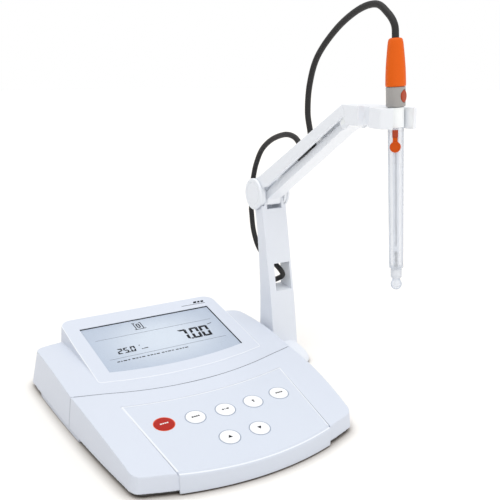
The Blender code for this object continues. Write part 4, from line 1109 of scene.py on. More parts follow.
def bars(widths, gap=0.42, h=0.72, y=0.0):
    """A row of short dashes standing for a printed legend."""
    total = sum(widths) + gap * (len(widths) - 1)
    x, out = -total / 2, []
    for w in widths:
        out.append([(x, y - h / 2), (x + w, y - h / 2), (x + w, y + h / 2), (x, y + h / 2)])
        x += w + gap
    return out


mark("key_red_print", -45.85, -58.4, bars([1.5, 1.2, 1.1, 1.3], 0.34, 1.15), INKPALE, "key_red_body", "key_red")
mark("key_mode_print", -23.0, -59.9, bars([1.5, 1.15, 1.25, 1.0], 0.34, 1.3), INK, "key_mode_body", "key_white")
mark("key_range_print", 0.0, -60.5, bars([1.3, 0.45, 1.9], 0.8, 1.3), INK, "key_range_body", "key_white")
mark("key_store_print", 23.0, -59.9, bars([1.5], y=0.55, h=1.5) + bars([1.1], y=-1.1, h=0.8), INK, "key_store_body", "key_white")
mark("key_enter_print", 45.85, -58.4, bars([1.3, 1.1, 1.0, 1.2], 0.34, 1.3), INK, "key_enter_body", "key_white")
mark("key_up_print", -11.6, -88.8, [[(-1.6, -1.3), (1.6, -1.3), (0.0, 1.5)]], INK, "key_up_body", "key_white")
mark("key_down_print", 11.6, -88.8, [[(-1.6, 1.3), (0.0, -1.5), (1.6, 1.3)]], INK, "key_down_body", "key_white")

# --------------------------------------------------------------------- display
print("display")


def recess_shade_ring():
    """Dark strip lining the window's recess, painted shade on the recess walls: full height at the rear and right walls
    only.
    """
    loops = [(0.03, -2.5, -2.5), (0.34, -2.5, -2.5), (0.34, -0.98, -1.5), (0.32, -0.42, -1.3), (0.03, -0.42, -1.3)]
    rings = []
    for d, tall, low in loops:
        ro = []
        for (x, y), (xi, yi) in zip(LCD_OUT, inset(LCD_OUT, d)):
            k = 1.0 if (y > 80.0 or x > 57.0) else 0.0
            ro.append((xi, yi, disp_plane(yi) + (tall * k + low * (1 - k))))
        rings.append(ro)
    return rings_mesh("window_recess_shade", rings, INK, 30, closed=True)


recess_shade = recess_shade_ring()
ship(recess_shade, "root", "black_plastic")
win = plate("display_window_pane", LCD_OUT, [(0.5, -0.92), (0.4, -0.88), (0.4, -0.60), (0.5, -0.55)], disp_plane, WINDOW)
ship(win, "root", "window", "display_window")
face = plate("lcd_face_sheet", LCD_OUT, [(0.4, -2.2), (0.4, -1.05)], disp_plane, LCDM)
ship(face, "root", "lcd")

LCD_H = -1.05
EYE = Vector((-205.565, -453.453, 259.390))
MARK_H = -2.36


def on_face(x, y):
    """Marks are laid out on the cell's rear polariser; this moves them up the line of sight to the face."""
    q = Vector((x, y, disp_plane(y) + MARK_H))
    d = q - EYE
    t = (DISP_PLANE_Z0 + LCD_H + DISP_SLOPE * EYE.y - EYE.z) / (d.z - DISP_SLOPE * d.y)
    return EYE.x + d.x * t, EYE.y + d.y * t

SEG = {'0': "abcdef", '1': "bc", '2': "abged", '5': "afgcd", '7': "abc", '.': "."}


def lcd_prism(bm, poly, h0=LCD_H - 0.02, h1=LCD_H + 0.06):
    poly = [on_face(x, y) for x, y in poly]
    lo = [vert(bm, (x, y, disp_plane(y) + h0)) for x, y in poly]
    hi = [vert(bm, (x, y, disp_plane(y) + h1)) for x, y in poly]
    bm.faces.new(list(reversed(lo)))
    bm.faces.new(hi)
    for i in range(len(poly)):
        j = (i + 1) % len(poly)
        bm.faces.new((lo[i], lo[j], hi[j], hi[i]))


def digit(bm, ch, x0, y0, w, h, t, lean):
    def P(u, v):
        return (x0 + u + lean * v / h, y0 + v)
    g = t * 0.12
    m = h / 2
    bars_ = {
        'a': [(g, h), (w - g, h), (w - t - g * 0, h - t), (t + g * 0, h - t)],
        'd': [(g, 0), (t, t), (w - t, t), (w - g, 0)],
        'f': [(0, h - g), (t, h - t), (t, m + t * 0.5 + g), (0, m + g)],
        'b': [(w, h - g), (w, m + g), (w - t, m + t * 0.5 + g), (w - t, h - t)],
        'e': [(0, g), (0, m - g), (t, m - t * 0.5 - g), (t, t)],
        'c': [(w, g), (w - t, t), (w - t, m - t * 0.5 - g), (w, m - g)],
        'g': [(t * 0.5, m), (t, m + t * 0.5), (w - t, m + t * 0.5), (w - t * 0.5, m), (w - t, m - t * 0.5), (t, m - t * 0.5)],
        '.': [(0, 0), (t, 0), (t, t), (0, t)],
    }
    for s in SEG[ch]:
        lcd_prism(bm, [P(u, v) for u, v in bars_[s]])


bm = bmesh.new()
digit(bm, '7', 15.0, 43.3, 8.0, 17.2, 2.35, 1.6)
digit(bm, '.', 23.7, 43.3, 1.9, 17.2, 1.9, 0.0)
digit(bm, '0', 25.9, 43.3, 8.0, 17.2, 2.35, 1.6)
digit(bm, '0', 35.1, 43.3, 8.0, 17.2, 2.35, 1.6)
ship(from_bm("lcd_digits_large", bm, INK, 0), "root", "lcd")
bm = bmesh.new()
digit(bm, '2', -41.3, 43.0, 4.1, 8.0, 1.3, 0.8)
digit(bm, '5', -36.1, 43.0, 4.1, 8.0, 1.3, 0.8)
digit(bm, '.', -31.7, 43.0, 1.1, 8.0, 1.1, 0.0)
digit(bm, '0', -30.3, 43.0, 4.1, 8.0, 1.3, 0.8)
ship(from_bm("lcd_digits_small", bm, INK, 0), "root", "lcd")
bm = bmesh.new()
lcd_prism(bm, [(-52.0, 68.85), (53.3, 68.85), (53.3, 69.15), (-52.0, 69.15)])
lcd_prism(bm, [(-50.6, 37.45), (52.4, 37.45), (52.4, 37.75), (-50.6, 37.75)])
ship(from_bm("lcd_rules", bm, INKSOFT, 0), "root", "lcd")
bm = bmesh.new()
x = -46.2
k = 0
pattern = [2.2, 1.2, 2.8, 1.6, 2.4, 1.8, 1.3, 2.7, 1.7, 2.2, 1.4, 2.5]
while x < 14.6:
    w = pattern[k % len(pattern)]
    lcd_prism(bm, [(x, 32.2), (x + w, 32.2), (x + w, 33.4), (x, 33.4)])
    x += w + (0.9 if k % 4 != 3 else 1.9)
    k += 1
lcd_prism(bm, [(46.4, 60.7), (50.9, 62.0), (50.9, 62.8), (46.4, 61.5)])
lcd_prism(bm, [(-21.8, 49.8), (-20.8, 49.8), (-20.8, 50.8), (-21.8, 50.8)])
lcd_prism(bm, [(-21.2, 43.9), (-19.8, 43.9), (-19.8, 44.7), (-21.2, 44.7)])
lcd_prism(bm, [(-19.2, 44.0), (-15.6, 44.2), (-15.6, 45.2), (-19.2, 45.0)])
ship(from_bm("lcd_small_marks", bm, INK, 0), "root", "lcd")
# beaker with a probe in it, drawn as thin outlines
bm = bmesh.new()


def stroke(bm, a, b, t):
    a, b = Vector(a), Vector(b)
    n = (b - a).normalized()
    p = Vector((-n.y, n.x)) * t / 2
    lcd_prism(bm, [tuple(a - p), tuple(b - p), tuple(b + p), tuple(a + p)])


for a, b in (((-13.6, 75.4), (-13.6, 85.6)), ((-7.0, 75.4), (-7.0, 85.6)), ((-15.4, 74.9), (-5.0, 74.9)),
             ((-13.6, 85.6), (-12.0, 85.6)), ((-8.6, 85.6), (-7.0, 85.6)), ((-14.6, 86.2), (-13.7, 85.4))):
    stroke(bm, a, b, 0.75)
for a, b in (((-11.4, 83.6), (-11.4, 78.4)), ((-9.2, 83.6), (-9.2, 78.4)), ((-11.4, 83.6), (-9.2, 83.6)),
             ((-11.4, 78.4), (-10.3, 77.0)), ((-9.2, 78.4), (-10.3, 77.0))):
    stroke(bm, a, b, 1.0)
ship(from_bm("lcd_beaker_icon", bm, INK, 0), "root", "lcd")

# ------------------------------------------------------------------- bottom case
plate_pts = []
ys = [SHOULDER_REAR - 9.0] + [80.0 - 8.0 * k for k in range(22)]
right = [(side_half(y) + draft(y) - 4.4 - (1.2 if y > 85 else 0), y) for y in ys if y > -89] + \
        [(77.5, -94.0), (74.0, -98.0), (62.0, -102.4), (50.0, -106.0), (25.0, -110.5)]
left = [(-x, y) for x, y in reversed(right)]
rear_tail = [(-67.0, 92.5), (-67.0, 104.0), (67.0, 104.0), (67.0, 92.5)]
# bottom plate in near-black: painted shade in the gap under the covers
bottom = prism("case_bottom_plate", right + left + rear_tail, 'z', 2.2, 4.2, DARK_SHADE, 0)


def skirt(y0, y1, n=14):
    w = [(side_half(y0 + (y1 - y0) * k / n) + draft(y0 + (y1 - y0) * k / n) - 0.35, y0 + (y1 - y0) * k / n)
         for k in range(n + 1)]
    return [(84.0, y0)] + w + [(84.0, y1)]


skirts = merge("case_side_skirts", [prism("t1", skirt(-17.0, 32.0), 'z', 0.35, 2.65, WHITE),
                                    prism("t2", skirt(62.0, 66.0), 'z', 0.35, 2.65, WHITE),
                                    prism("t3", [(-a, b) for a, b in skirt(-17.0, 66.0)], 'z', 0.35, 2.65, WHITE)], WHITE)
ship(skirts, "root", "case")
# near-black rim just inside the covers' lower edge: painted contact shadow along the bottom of the case
rim_r = [(side_half(y) + draft(y) - 1.7, y) for y in [87.0 - 8.0 * k for k in range(22)]]
rim_r += arc2(CORNER_X, CORNER_Y, 11.2, -4, -66, 10)
rim_r += [(x, front(x) + 0.9) for x in (74.0, 66.0, 58.0, 48.0, 36.0, 24.0, 12.0)]
rim = prism("base_shade_rim", rim_r + [(0.0, front(0.0) + 0.9)] + [(-x, y) for x, y in reversed(rim_r)], 'z', 0.9, 2.95, DARK_SHADE, 0)
ship(rim, "root", "case")
for bx, by in ((-60, 25), (60, 25), (-60, 85), (60, 85)):
    join(bottom, cyl("t", (bx, by, 3.5), (0, 0, 1), 4.0, 3.0, WHITE, 32))
SCREWS = [(-84.0, 82.0), (84.0, 82.0), (-72.0, -66.0), (72.0, -66.0)]
for sx, sy in SCREWS:
    cut(bottom, cyl("t", (sx, sy, 1.0), (0, 0, 1), 5.0, 1.8, WHITE, 32))
for hx, hy in ((72.0, 40.0), (72.0, 54.0)):
    cut(bottom, cyl("t", (hx, hy, 1.0), (0, 0, 1), 6.0, 1.5, WHITE, 32))
for k in range(9):     # cooling slots through the bottom
    y = 34.0 + 5.0 * k
    cut(bottom, box("t", -24.0, 24.0, y, y + 1.8, 1.0, 6.0, WHITE))
ship(bottom, "root", "case", "bottom_case")

for nm, fx, fy in [("foot_front_left", -58.0, -88.0), ("foot_front_right", 58.0, -88.0),
                   ("foot_rear_left", -66.0, 76.0), ("foot_rear_right", 66.0, 76.0)]:
    f = turned(nm + "_pad", (fx, fy, 0.0), (0, 0, 1),
               [(0, 0), (0, 4.9), (0.15, 5.35), (0.5, 5.75), (1.0, 6.0), (1.9, 6.0), (1.9, 0)], RUBBER, 64)
    ship(f, "root", "foot_rubber", nm)

# -------------------------------------------------------------------- connectors
print("connectors")
yw = rear_wall_y(CONN_Z)
s = turned("bnc_socket_shell", (BNC_X, yw - 9, CONN_Z), (0, 1, 0),
           [(0, 0), (0, 4.9), (9.4, 4.9)] + round_profile([(9.4, 5.0), (9.4, 7.2), (11.2, 7.2), (11.2, 4.6)], 0.3) +
           [(15.0, 4.6), (15.0, 3.9), (12.0, 3.9), (12.0, 0)], NICKEL, 64)
ship(s, "root", "connector_metal", "bnc_socket")
s = turned("temp_socket_shell", (TEMP_X, yw - 8, CONN_Z), (0, 1, 0),
           [(0, 0), (0, 4.2), (8.4, 4.2)] + round_profile([(8.4, 4.3), (8.4, 6.4), (9.8, 6.4), (9.8, 4.1)], 0.3) +
           [(13.5, 4.1), (13.5, 2.2), (9.0, 2.2), (9.0, 0)], NICKEL, 6 * 8)
ship(s, "root", "connector_metal", "temp_socket")
s = turned("power_socket_shell", (PWR_X, yw - 8, CONN_Z), (0, 1, 0),
           [(0, 0), (0, 4.2), (8.4, 4.2)] + round_profile([(8.4, 4.3), (8.4, 6.0), (9.4, 6.0), (9.4, 3.0)], 0.3) +
           [(3.0, 3.0), (3.0, 0.9), (8.6, 0.9), (8.8, 0.5), (8.8, 0.0)], RUBBER, 64)
ship(s, "root", "black_plastic", "power_socket")
plug = turned("bnc_plug_core", (BNC_X, yw + 3.4, CONN_Z), (0, 1, 0),
              [(0, 0), (0, 3.4), (8.0, 3.4), (8.0, 4.6)] +
              round_profile([(17.0, 4.6), (17.0, 5.6), (19.0, 5.6), (27.0, 3.9), (34.0, 3.2), (34.0, 0)], 0.5), NICKEL, 64)
ship(plug, "root", "connector_metal", "bnc_plug")


def knurled_ring():
    """Bayonet ring with a finely knurled grip."""
    prof = [(0, 5.2), (0, 6.6), (0.3, 6.9), (2.4, 6.9), (2.6, 6.75), (12.6, 6.75), (12.8, 6.9), (13.2, 6.9), (13.5, 6.6),
            (13.5, 4.95), (6.0, 4.95), (6.0, 5.2)]
    u, v, d = frame_on((0, 1, 0))
    o = Vector((BNC_X, yw + 2.6, CONN_Z))
    seg = 144
    rings = []
    for a, r in prof:
        row = []
        for k in range(seg):
            t = 2 * math.pi * k / seg
            rr = r + (0.16 if (2.6 <= a <= 12.6 and r > 6 and k % 4 < 2) else 0.0)
            row.append(o + d * a + (u * math.cos(t) + v * math.sin(t)) * rr)
        rings.append(row)
    return rings_mesh("bnc_ring_knurled", rings, NICKEL, 30, True)


ship(knurled_ring(), "bnc_ring_body", "connector_metal", "bnc_ring")

# ------------------------------------------------------------------------- post
print("post")
front_edge = [(35.0, 9.0), (35.4, 14.0), (36.9, 26.0), (38.4, 36.0), (41.3, 54.0), (44.9, 72.0),
              (48.3, 89.0), (53.4, 115.5), (56.6, 131.0)]
back_edge = [(69.6, 131.0), (65.9, 113.0), (62.6, 86.0), (61.0, 67.3), (60.2, 48.4), (60.0, 26.4), (60.4, 9.0)]
column = prism("t1", front_edge + [(57.3, 136.0), (70.6, 136.0)] + back_edge, 'x', ARM_X0, ARM_X1, POSTW)
ear = [(56.4, 128.0), (57.3, 136.0), (58.6, 145.0)] + arc2(P1[0], P1[1], 10.9, 165, 0, 24) + [(78.0, 137.0), (70.0, 128.0)]
ears = prism("t2", ear, 'x', EAR0, EAR1, POSTW)
pad = arc2(114.2, 24.8, 13.9, 180, 360, 30) + [(128.1, 40.0), (128.1, 56.0), (127.6, 63.0), (125.5, 68.0), (120.0, 71.0),
                                                (108.0, 71.0), (102.8, 69.0), (100.6, 64.0), (100.3, 56.0), (100.3, 40.0)]


def shrink(p, s_):
    return (114.2 + (p[0] - 114.2) * s_, 47.0 + (p[1] - 47.0) * (s_ if p[1] < 47 else (s_ * 0.6 + 0.4)))


rings = []
for z, s_ in ((0.5, 0.985), (1.2, 0.998), (2.2, 1.0), (3.4, 0.993), (4.6, 0.972), (6.0, 0.935), (7.5, 0.88), (9.0, 0.81),
              (10.5, 0.72), (12.0, 0.61), (13.4, 0.48), (14.4, 0.34), (15.0, 0.2)):
    rings.append([(max(q[0], 100.3), q[1], z) for q in (shrink(p, s_) for p in pad)])
foot = rings_mesh("t3", rings, POSTW)
post = merge("arm_post", [column, ears, foot], POSTW)
soften(post, 0.5, 8)
for x_, d_ in ((ARM_X0 - 1, 1), (ARM_X1 + 1, -1)):
    cut(post, turned("t", (x_, P1[0], P1[1]), (d_, 0, 0),
                     [(0, 0), (0, HINGE_R + 1.0), (1 + ARM_WALL + GAP, HINGE_R + 1.0), (1 + ARM_WALL + GAP, 0)], POSTW, 96))
cut(post, prism("t", [(50.0, 132.8), (59.5, 132.8), (60.5, 131.0), (72.5, 131.0), (72.5, 165.0), (50.0, 165.0)], 'x',
                EAR0 + EAR_T, EAR1 - EAR_T, POSTW))
cut(post, box("t", 95, 122.5, 33.7, 60.3, -1.0, 2.3, POSTW))
for yy in (40.0, 54.0):
    cut(post, cyl("t", (112.5, yy, 1.0), (0, 0, 1), 11.0, 1.7, POSTW, 24))
cut(post, prism("t", [(40.0, 60.6), (75.0, 62.6), (75.0, 86.6), (40.0, 84.6)], 'x', 106.6, 122.6, POSTW))
cut(post, cyl("t", (ARM_X0 - 2, P1[0], P1[1]), (1, 0, 0), 30.0, 2.3, POSTW, 32))
ship(post, "root", "arm_white", "post")

# -------------------------------------------------------------------- upper arm
print("arm")
top_line = ((66.3, 159.7), (-52.0, 229.5))
low_line = ((52.1, 153.2), (-52.5, 221.1))


def on_line(line, y):
    (y0, z0), (y1, z1) = line
    return z0 + (z1 - z0) * (y - y0) / (y1 - y0)


side_poly = arc2(P1[0], P1[1], HINGE_R, 147, 420, 60)
side_poly += [(62.0, on_line(top_line, 62.0))]
side_poly += arc2(Q1[0], Q1[1], CHEEK_R, 115, 197, 24) + [(-51.0, 219.7)]
side_poly += [(-40.0, on_line(low_line, -40.0)), (50.5, on_line(low_line, 50.5))]
arm = prism("arm_upper_channel", side_poly, 'x', ARM_X0, ARM_X1, ARMW)
soften(arm, 0.42, 6)
chan = [(100.0, on_line(top_line, 62.0) - 40.0), (100.0, 163.0), (66.0, 163.0),
        (58.0, on_line(top_line, 58.0) - 2.6), (-37.0, on_line(top_line, -37.0) - 2.6),
        (-39.0, 250.0), (-80.0, 250.0), (-80.0, 180.0), (20.0, 120.0)]
cut(arm, prism("t", chan, 'x', ARM_X0 + ARM_WALL, ARM_X1 - ARM_WALL, ARMW))
cut(arm, prism("t", [(26.0, 170.0), (26.0, 200.0), (-6.0, 220.0), (-6.0, 185.0)], 'x', 108.6, 119.2, ARMW))
cut(arm, cyl("t", (ARM_X0 - 2, P1[0], P1[1]), (1, 0, 0), 30.0, 2.3, ARMW, 32))
cut(arm, cyl("t", (ARM_X0 + 0.7, Q1[0], Q1[1]), (1, 0, 0), ARM_X1 - ARM_X0 - 1.4, 1.8, ARMW, 32))
ship(arm, "upper_arm_body", "arm_white", "upper_arm")
for sx, nm in ((-1, "left"), (1, "right")):
    x_face = ARM_X0 if sx < 0 else ARM_X1
    prof = [(0, 0), (0, CAP_R - 0.5), (0.25, CAP_R - 0.12), (0.55, CAP_R), (CAP_T - 1.2, CAP_R), (CAP_T - 0.75, CAP_R - 0.12),
            (CAP_T - 0.4, CAP_R - 0.45), (CAP_T - 0.2, CAP_R - 1.0), (CAP_T - 0.16, CAP_R - 1.5), (CAP_T - 0.16, 10.1),
            (CAP_T - 0.34, 9.9), (CAP_T - 0.34, 9.6), (CAP_T - 0.16, 9.4), (CAP_T - 0.02, 9.1), (CAP_T, 8.6), (CAP_T, 0)]
    cap = turned("hinge_cap_%s_disc" % nm, (x_face + sx * 0.3, P1[0], P1[1]), (sx, 0, 0), prof, ARMW, 128, 50)
    ship(cap, "upper_arm_body", "arm_white", "hinge_cap_" + nm)

# --------------------------------------------------------------------- link bar
link_poly = arc2(P2[0], P2[1], 4.0, -60, 100, 16)
link_poly += [(60.2, 146.6), (52.0, 154.0), (21.4, 173.8), (-44.0, 214.7)]
link_poly += arc2(Q2[0], Q2[1], 3.3, 72, 250, 16)
link_poly += [(-45.0, 209.4), (21.2, 165.4), (57.2, 141.6), (57.7, 137.4), (59.5, 136.0)]
link = prism("arm_link_bar", link_poly, 'x', LINK_X0, LINK_X1, ARMW)
soften(link, 0.38, 5)
cut(link, cyl("t", (LINK_X0 - 2, P2[0], P2[1]), (1, 0, 0), 20.0, 1.6, ARMW, 32))
cut(link, cyl("t", (LINK_X0 - 2, Q2[0], Q2[1]), (1, 0, 0), 20.0, 1.6, ARMW, 32))
ship(link, "link_body", "arm_white", "link_bar")

# ------------------------------------------------------------------ holder head
print("holder")
HZ0, HZ1 = 215.4, 229.2
kn = [(-49.8, HZ1), (-49.8, 226.6), (-53.4, 222.0)] + arc2(-60.0, 221.8, 6.4, -5, -85, 16) + [(-70.2, 215.4), (-70.2, HZ1)]
k1 = prism("t1", kn, 'x', ARM_X0, ARM_X1, ARMW)
earp = [(-56.0, 226.4), (-50.0, 226.5)] + arc2(Q1[0], Q1[1], 4.2, 80, -50, 14) + \
       [(-46.6, 215.0), (-48.0, 212.2), (-51.6, 211.5), (-55.0, 212.6), (-59.0, 216.5)]
k2 = prism("t2", earp, 'x', EAR0, EAR1, ARMW)
k3 = prism("t3", [(105.5, -69.0), (119.5, -69.0), (118.5, -80.0), (106.5, -80.0)], 'z', HZ0 + 0.6, HZ1 - 0.3, ARMW)
RING_C, RING_R = (112.2, -92.0), 15.7
# ring in plan: round at the rear, two flats at the left and front, grip ribs on the right jaw
ring_pts = []
for k in range(180):
    a = 2.0 * k
    r = RING_R
    for c0, half in ((173.0, 23.0), (222.0, 26.0)):
        d = (a - c0 + 180) % 360 - 180
        if abs(d) <= half:
            r = min(r, RING_R * math.cos(math.radians(half)) / math.cos(math.radians(d)) + 0.35)
    for c0 in (303.0, 314.0):
        d = abs(a - c0)
        if d < 2.6:
            r -= 0.9 * (1 - (d / 2.6) ** 2)
    t = math.radians(a)
    ring_pts.append((RING_C[0] + r * math.cos(t), RING_C[1] + r * math.sin(t)))
k4 = prism("t4", ring_pts, 'z', HZ0, HZ1 - 0.2, ARMW)
holder = merge("electrode_holder", [k1, k2, k3, k4], ARMW)
soften(holder, 0.38, 4)
cut(holder, prism("t", [(-30.0, 200.0), (-57.0, 200.0), (-60.5, 212.0), (-59.5, 218.5), (-56.0, 221.5), (-52.0, 222.8), (-49.0, 226.0),
                        (-49.0, 240.0), (-30.0, 240.0)],
                  'x', EAR0 + EAR_T, EAR1 - EAR_T, ARMW))
for x0 in (ARM_X0 - 1.0, EAR1):
    cut(holder, cyl("t", (x0, Q1[0], Q1[1]), (1, 0, 0), 1.0 + ARM_WALL + GAP, CHEEK_R + GAP, ARMW, 96))
cut(holder, cyl("t", EL_P - EL_D * 10, EL_D, 40.0, 6.05, ARMW, 64))
cut(holder, prism("t", [(103.1, -96.6), (117.3, -96.6), (117.6, -112.0), (102.8, -112.0)], 'z', 205.0, 240.0, ARMW))
cut(holder, cyl("t", (ARM_X0 - 2, Q1[0], Q1[1]), (1, 0, 0), 30.0, 1.8, ARMW, 32))
cut(holder, cyl("t", (EAR0 + 0.7, Q2[0], Q2[1]), (1, 0, 0), EAR1 - EAR0 - 1.4, 1.8, ARMW, 32))
ship(holder, "head_body", "arm_white", "holder_head")


# -------------------------------------------------------------------- electrode
print("electrode")


def el(s_):
    return EL_P + EL_D * s_


cap = turned("electrode_cap_grip", el(-13.35), -EL_D,
             [(0, 0), (0, 6.45), (0.15, 6.6), (1.0, 6.75), (6.0, 6.66), (12.0, 6.42), (17.0, 6.05), (22.0, 5.62), (26.0, 5.22),
              (28.0, 4.95), (29.2, 4.68), (29.9, 4.3), (30.35, 3.7), (30.6, 2.9), (30.6, 0)], ORANGE, 96, 60)
ship(cap, "electrode_body", "orange", "electrode_cap")
collar = turned("electrode_collar_band", el(-0.35), -EL_D,
                [(0, 0), (0, 6.0), (0.2, 6.3), (0.55, 6.45), (12.35, 6.45), (12.6, 6.35), (12.7, 6.2), (12.7, 0)], GREYM, 96)
fv = Vector((0.345, -0.938, 0.0))
fv = (fv - EL_D * fv.dot(EL_D)).normalized()
fu = EL_D.cross(fv).normalized()
oval_c = el(-7.0) + fv * 5.0


def oval(name, o, ax, up, out, a, b, d0, d1, mat, n=64, soft=0.0):
    def ringp(sc, d):
        return [o + ax * (a * sc * math.cos(t)) + up * (b * sc * math.sin(t)) + out * d
                for t in (2 * math.pi * k / n for k in range(n))]
    rs = [ringp(1, d0), ringp(1, d1 - soft)] + ([ringp(0.93, d1 - soft * 0.3), ringp(0.8, d1)] if soft else [])
    return rings_mesh(name, rs, mat, 30)


cut(collar, oval("t", oval_c, fu, EL_D, fv, 3.55, 4.35, 0.4, 5.0, GREYM))
ship(collar, "electrode_body", "collar_grey", "electrode_collar")
ins = oval("collar_insert_button", oval_c, fu, EL_D, fv, 3.3, 4.1, 0.45, 1.5, ORANGE2, 64, 0.4)
ship(ins, "electrode_body", "orange", "collar_insert")

shaft = turned("electrode_body_tube", el(0.0), EL_D,
               [(0, 0), (0, 5.25), (0.15, 5.4), (30.0, 5.31), (60.0, 5.2), (90.0, 5.06), (110.3, 4.95), (110.8, 4.85), (110.9, 4.6),
                (110.9, 2.2), (110.7, 2.0), (60.0, 2.0), (12.2, 2.0), (12.0, 1.8), (12.0, 0)], BODY, 96)
cam_v = Vector((-0.70, -0.71, 0.0))
cam_v = (cam_v - EL_D * cam_v.dot(EL_D)).normalized()
cut(shaft, cyl("t", el(25.6) + cam_v * 2.0, cam_v, 6.0, 1.9, BODY, 32))
ship(shaft, "electrode_body", "electrode_body", "electrode_shaft")
band = turned("electrode_head_band", el(0.2), EL_D, [(0, 5.0), (0, 5.46), (12.9, 5.44), (13.1, 5.3), (13.1, 5.0)], ARMW, 96, 30.0, True)
ship(band, "electrode_body", "electrode_body")
wire = turned("inner_reference_wire", el(30.4), EL_D, [(0, 0), (0, 0.35), (0.15, 0.5), (65.0, 0.5), (65.15, 0.35), (65.15, 0)], WIRE, 24)
ship(wire, "electrode_body", "glass", "inner_tube")
junc = turned("inner_junction_rod", el(99.5), EL_D, [(0, 0), (0, 0.7), (0.3, 0.95), (10.9, 0.95), (11.1, 0.8), (11.1, 0)], WIRE2, 24)
ship(junc, "electrode_body", "glass")
guard = turned("electrode_tip_guard", el(111.2), EL_D,
               round_profile([(0, 0), (0, 3.3), (1.2, 3.9), (6.6, 3.9), (7.2, 3.4), (7.2, 0)], 0.35), GUARD, 96)
ship(guard, "electrode_body", "electrode_body", "tip_guard")
bulb = turned("electrode_glass_bulb", el(118.7), EL_D,
              [(0, 0), (0, 2.5), (0.5, 2.75)] + [(4.65 - 4.05 * math.cos(math.radians(a)), 3.95 * math.sin(math.radians(a)))
                                                 for a in range(48, 180, 6)] + [(8.7, 0)], BULB, 96, 60)
ship(bulb, "electrode_body", "glass", "glass_bulb")

strap_t = EL_D.cross(cam_v).normalized()
so = el(14.6) + cam_v * 5.75


def soft_bar(name, o, ax, ay, az, x0, x1, y0, y1, z0, z1, r, mat):
    bm = bmesh.new()
    v = {}
    for i, x_ in enumerate((x0, x1)):
        for j, y_ in enumerate((y0, y1)):
            for k_, z_ in enumerate((z0, z1)):
                v[i, j, k_] = vert(bm, o + ax * x_ + ay * y_ + az * z_)
    for f in (((0, 0, 0), (0, 0, 1), (0, 1, 1), (0, 1, 0)), ((1, 0, 0), (1, 1, 0), (1, 1, 1), (1, 0, 1)),
              ((0, 0, 0), (1, 0, 0), (1, 0, 1), (0, 0, 1)), ((0, 1, 0), (0, 1, 1), (1, 1, 1), (1, 1, 0)),
              ((0, 0, 0), (0, 1, 0), (1, 1, 0), (1, 0, 0)), ((0, 0, 1), (1, 0, 1), (1, 1, 1), (0, 1, 1))):
        bm.faces.new([v[c_] for c_ in f])
    ob = from_bm(name, bm, mat, 0)
    if r:
        bevel(ob, r, 3)
    return ob


ship(soft_bar("stopper_strap_tab", so, strap_t, EL_D, cam_v, -1.9, 1.9, -0.1, 4.75, 0.0, 1.6, 0.25, ORANGE2),
     "electrode_body", "orange", "stopper_strap")
st = turned("filler_stopper_disc", el(25.6) + cam_v * 4.2, cam_v,
            [(0, 0), (0, 1.2), (1.35, 1.2), (1.35, 3.2), (1.6, 3.55), (1.9, 3.65), (3.2, 3.65), (3.6, 3.5), (3.85, 3.15), (3.9, 2.7),
             (3.72, 2.5), (3.72, 0)], ORANGE3, 96)
join(st, soft_bar("t", el(22.0) + cam_v * 5.75, strap_t, EL_D, cam_v, -1.6, 1.6, -2.60, 1.5, 0.0, 1.6, 0.0, ORANGE3))
ship(st, "stopper_body", "orange", "filler_stopper")

# ------------------------------------------------------------------------ cable
print("cables")
cap_top = el(-43.95)
lead_low = catmull([(BNC_X, yw + 38.0, CONN_Z), (BNC_X, yw + 41.0, CONN_Z), (BNC_X + 0.8, yw + 44.5, CONN_Z - 1.0), (BNC_X + 6, yw + 50, 12.0),
                    (68, 158, 4.5), (88, 146, 2.9), (104, 122, 2.9), (112, 98, 3.0), (113.6, 83, 6.0), (113.4, 73.0, 20.0),
                    (113.2, 70.0, 40.0), (113.0, 70.4, 53.0), (113.6, 67.5, 61.5), (115.2, 57.0, 67.0), (116.5, 48.2, 73.5),
                    (115.2, 56.5, 80.0), (113.0, 71.0, 84.0), (112.0, 84.0, 92.0), (112.0, 93.0, 106.0), (112.0, 96.5, 122.0),
                    (112.0, 97.0, 124.2)], 8)
ship(sweep("cable_lead_lower", lead_low, CABLE_R, CABLEM), "root", "cable", "cable_lower")


def shipped_blend(ob, a, b, start, end, slot, *nodes):
    if nodes:
        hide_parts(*nodes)
    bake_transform(ob)
    SHOW.append(ob)


loop_low = catmull([(112.0, 97.0, 124.2), (112.2, 96.6, 142.0), (112.6, 93.8, 157.0), (113.0, 89.2, 169.6), (113.2, 79.7, 182.7),
                    (113.4, 63.7, 192.8), (113.6, 43.6, 198.8), (113.8, 29.5, 198.2), (114.0, 21.5, 193.2), (114.0, 18.0, 187.0)], 9)
shipped_blend(sweep("cable_loop_behind_hinge", loop_low, CABLE_R, CABLEM), "root", "upper_arm_body",
              (112, 97, 124.2), (113.5, 40, 190), "cable", "cable_loop_lower")
in_arm = catmull([(114.0, 18.0, 187.0), (111.0, 14.4, 184.6), (106.6, 10.6, 183.2), (104.95, 6.4, 185.5), (104.85, 2.0, 188.2),
                  (105.1, -2.6, 191.1), (107.4, -5.2, 193.5), (110.9, -3.0, 194.6), (112.8, 0.4, 195.2), (113.0, 2.8, 197.4)], 8)
ship(sweep("cable_inside_arm", in_arm, CABLE_R, CABLEM), "upper_arm_body", "cable", "cable_in_arm")
up_ctrl = [(113.0, 2.8, 197.4), (112.6, 4.9, 206.0), (112.2, 8.0, 220.0), (111.8, 5.6, 241.0), (111.4, -4.6, 262.0),
           (110.8, -28.0, 281.0), (110.0, -53.0, 292.6), (109.4, -73.0, 295.4), (108.8, -86.0, 289.0),
           (cap_top.x + 0.1, -93.0, 281.5), tuple(cap_top + EL_D * 0.6)]
up_pts = catmull(up_ctrl, 10)
half = 50          # the loop is split at the control point (110.8, -28, 281)
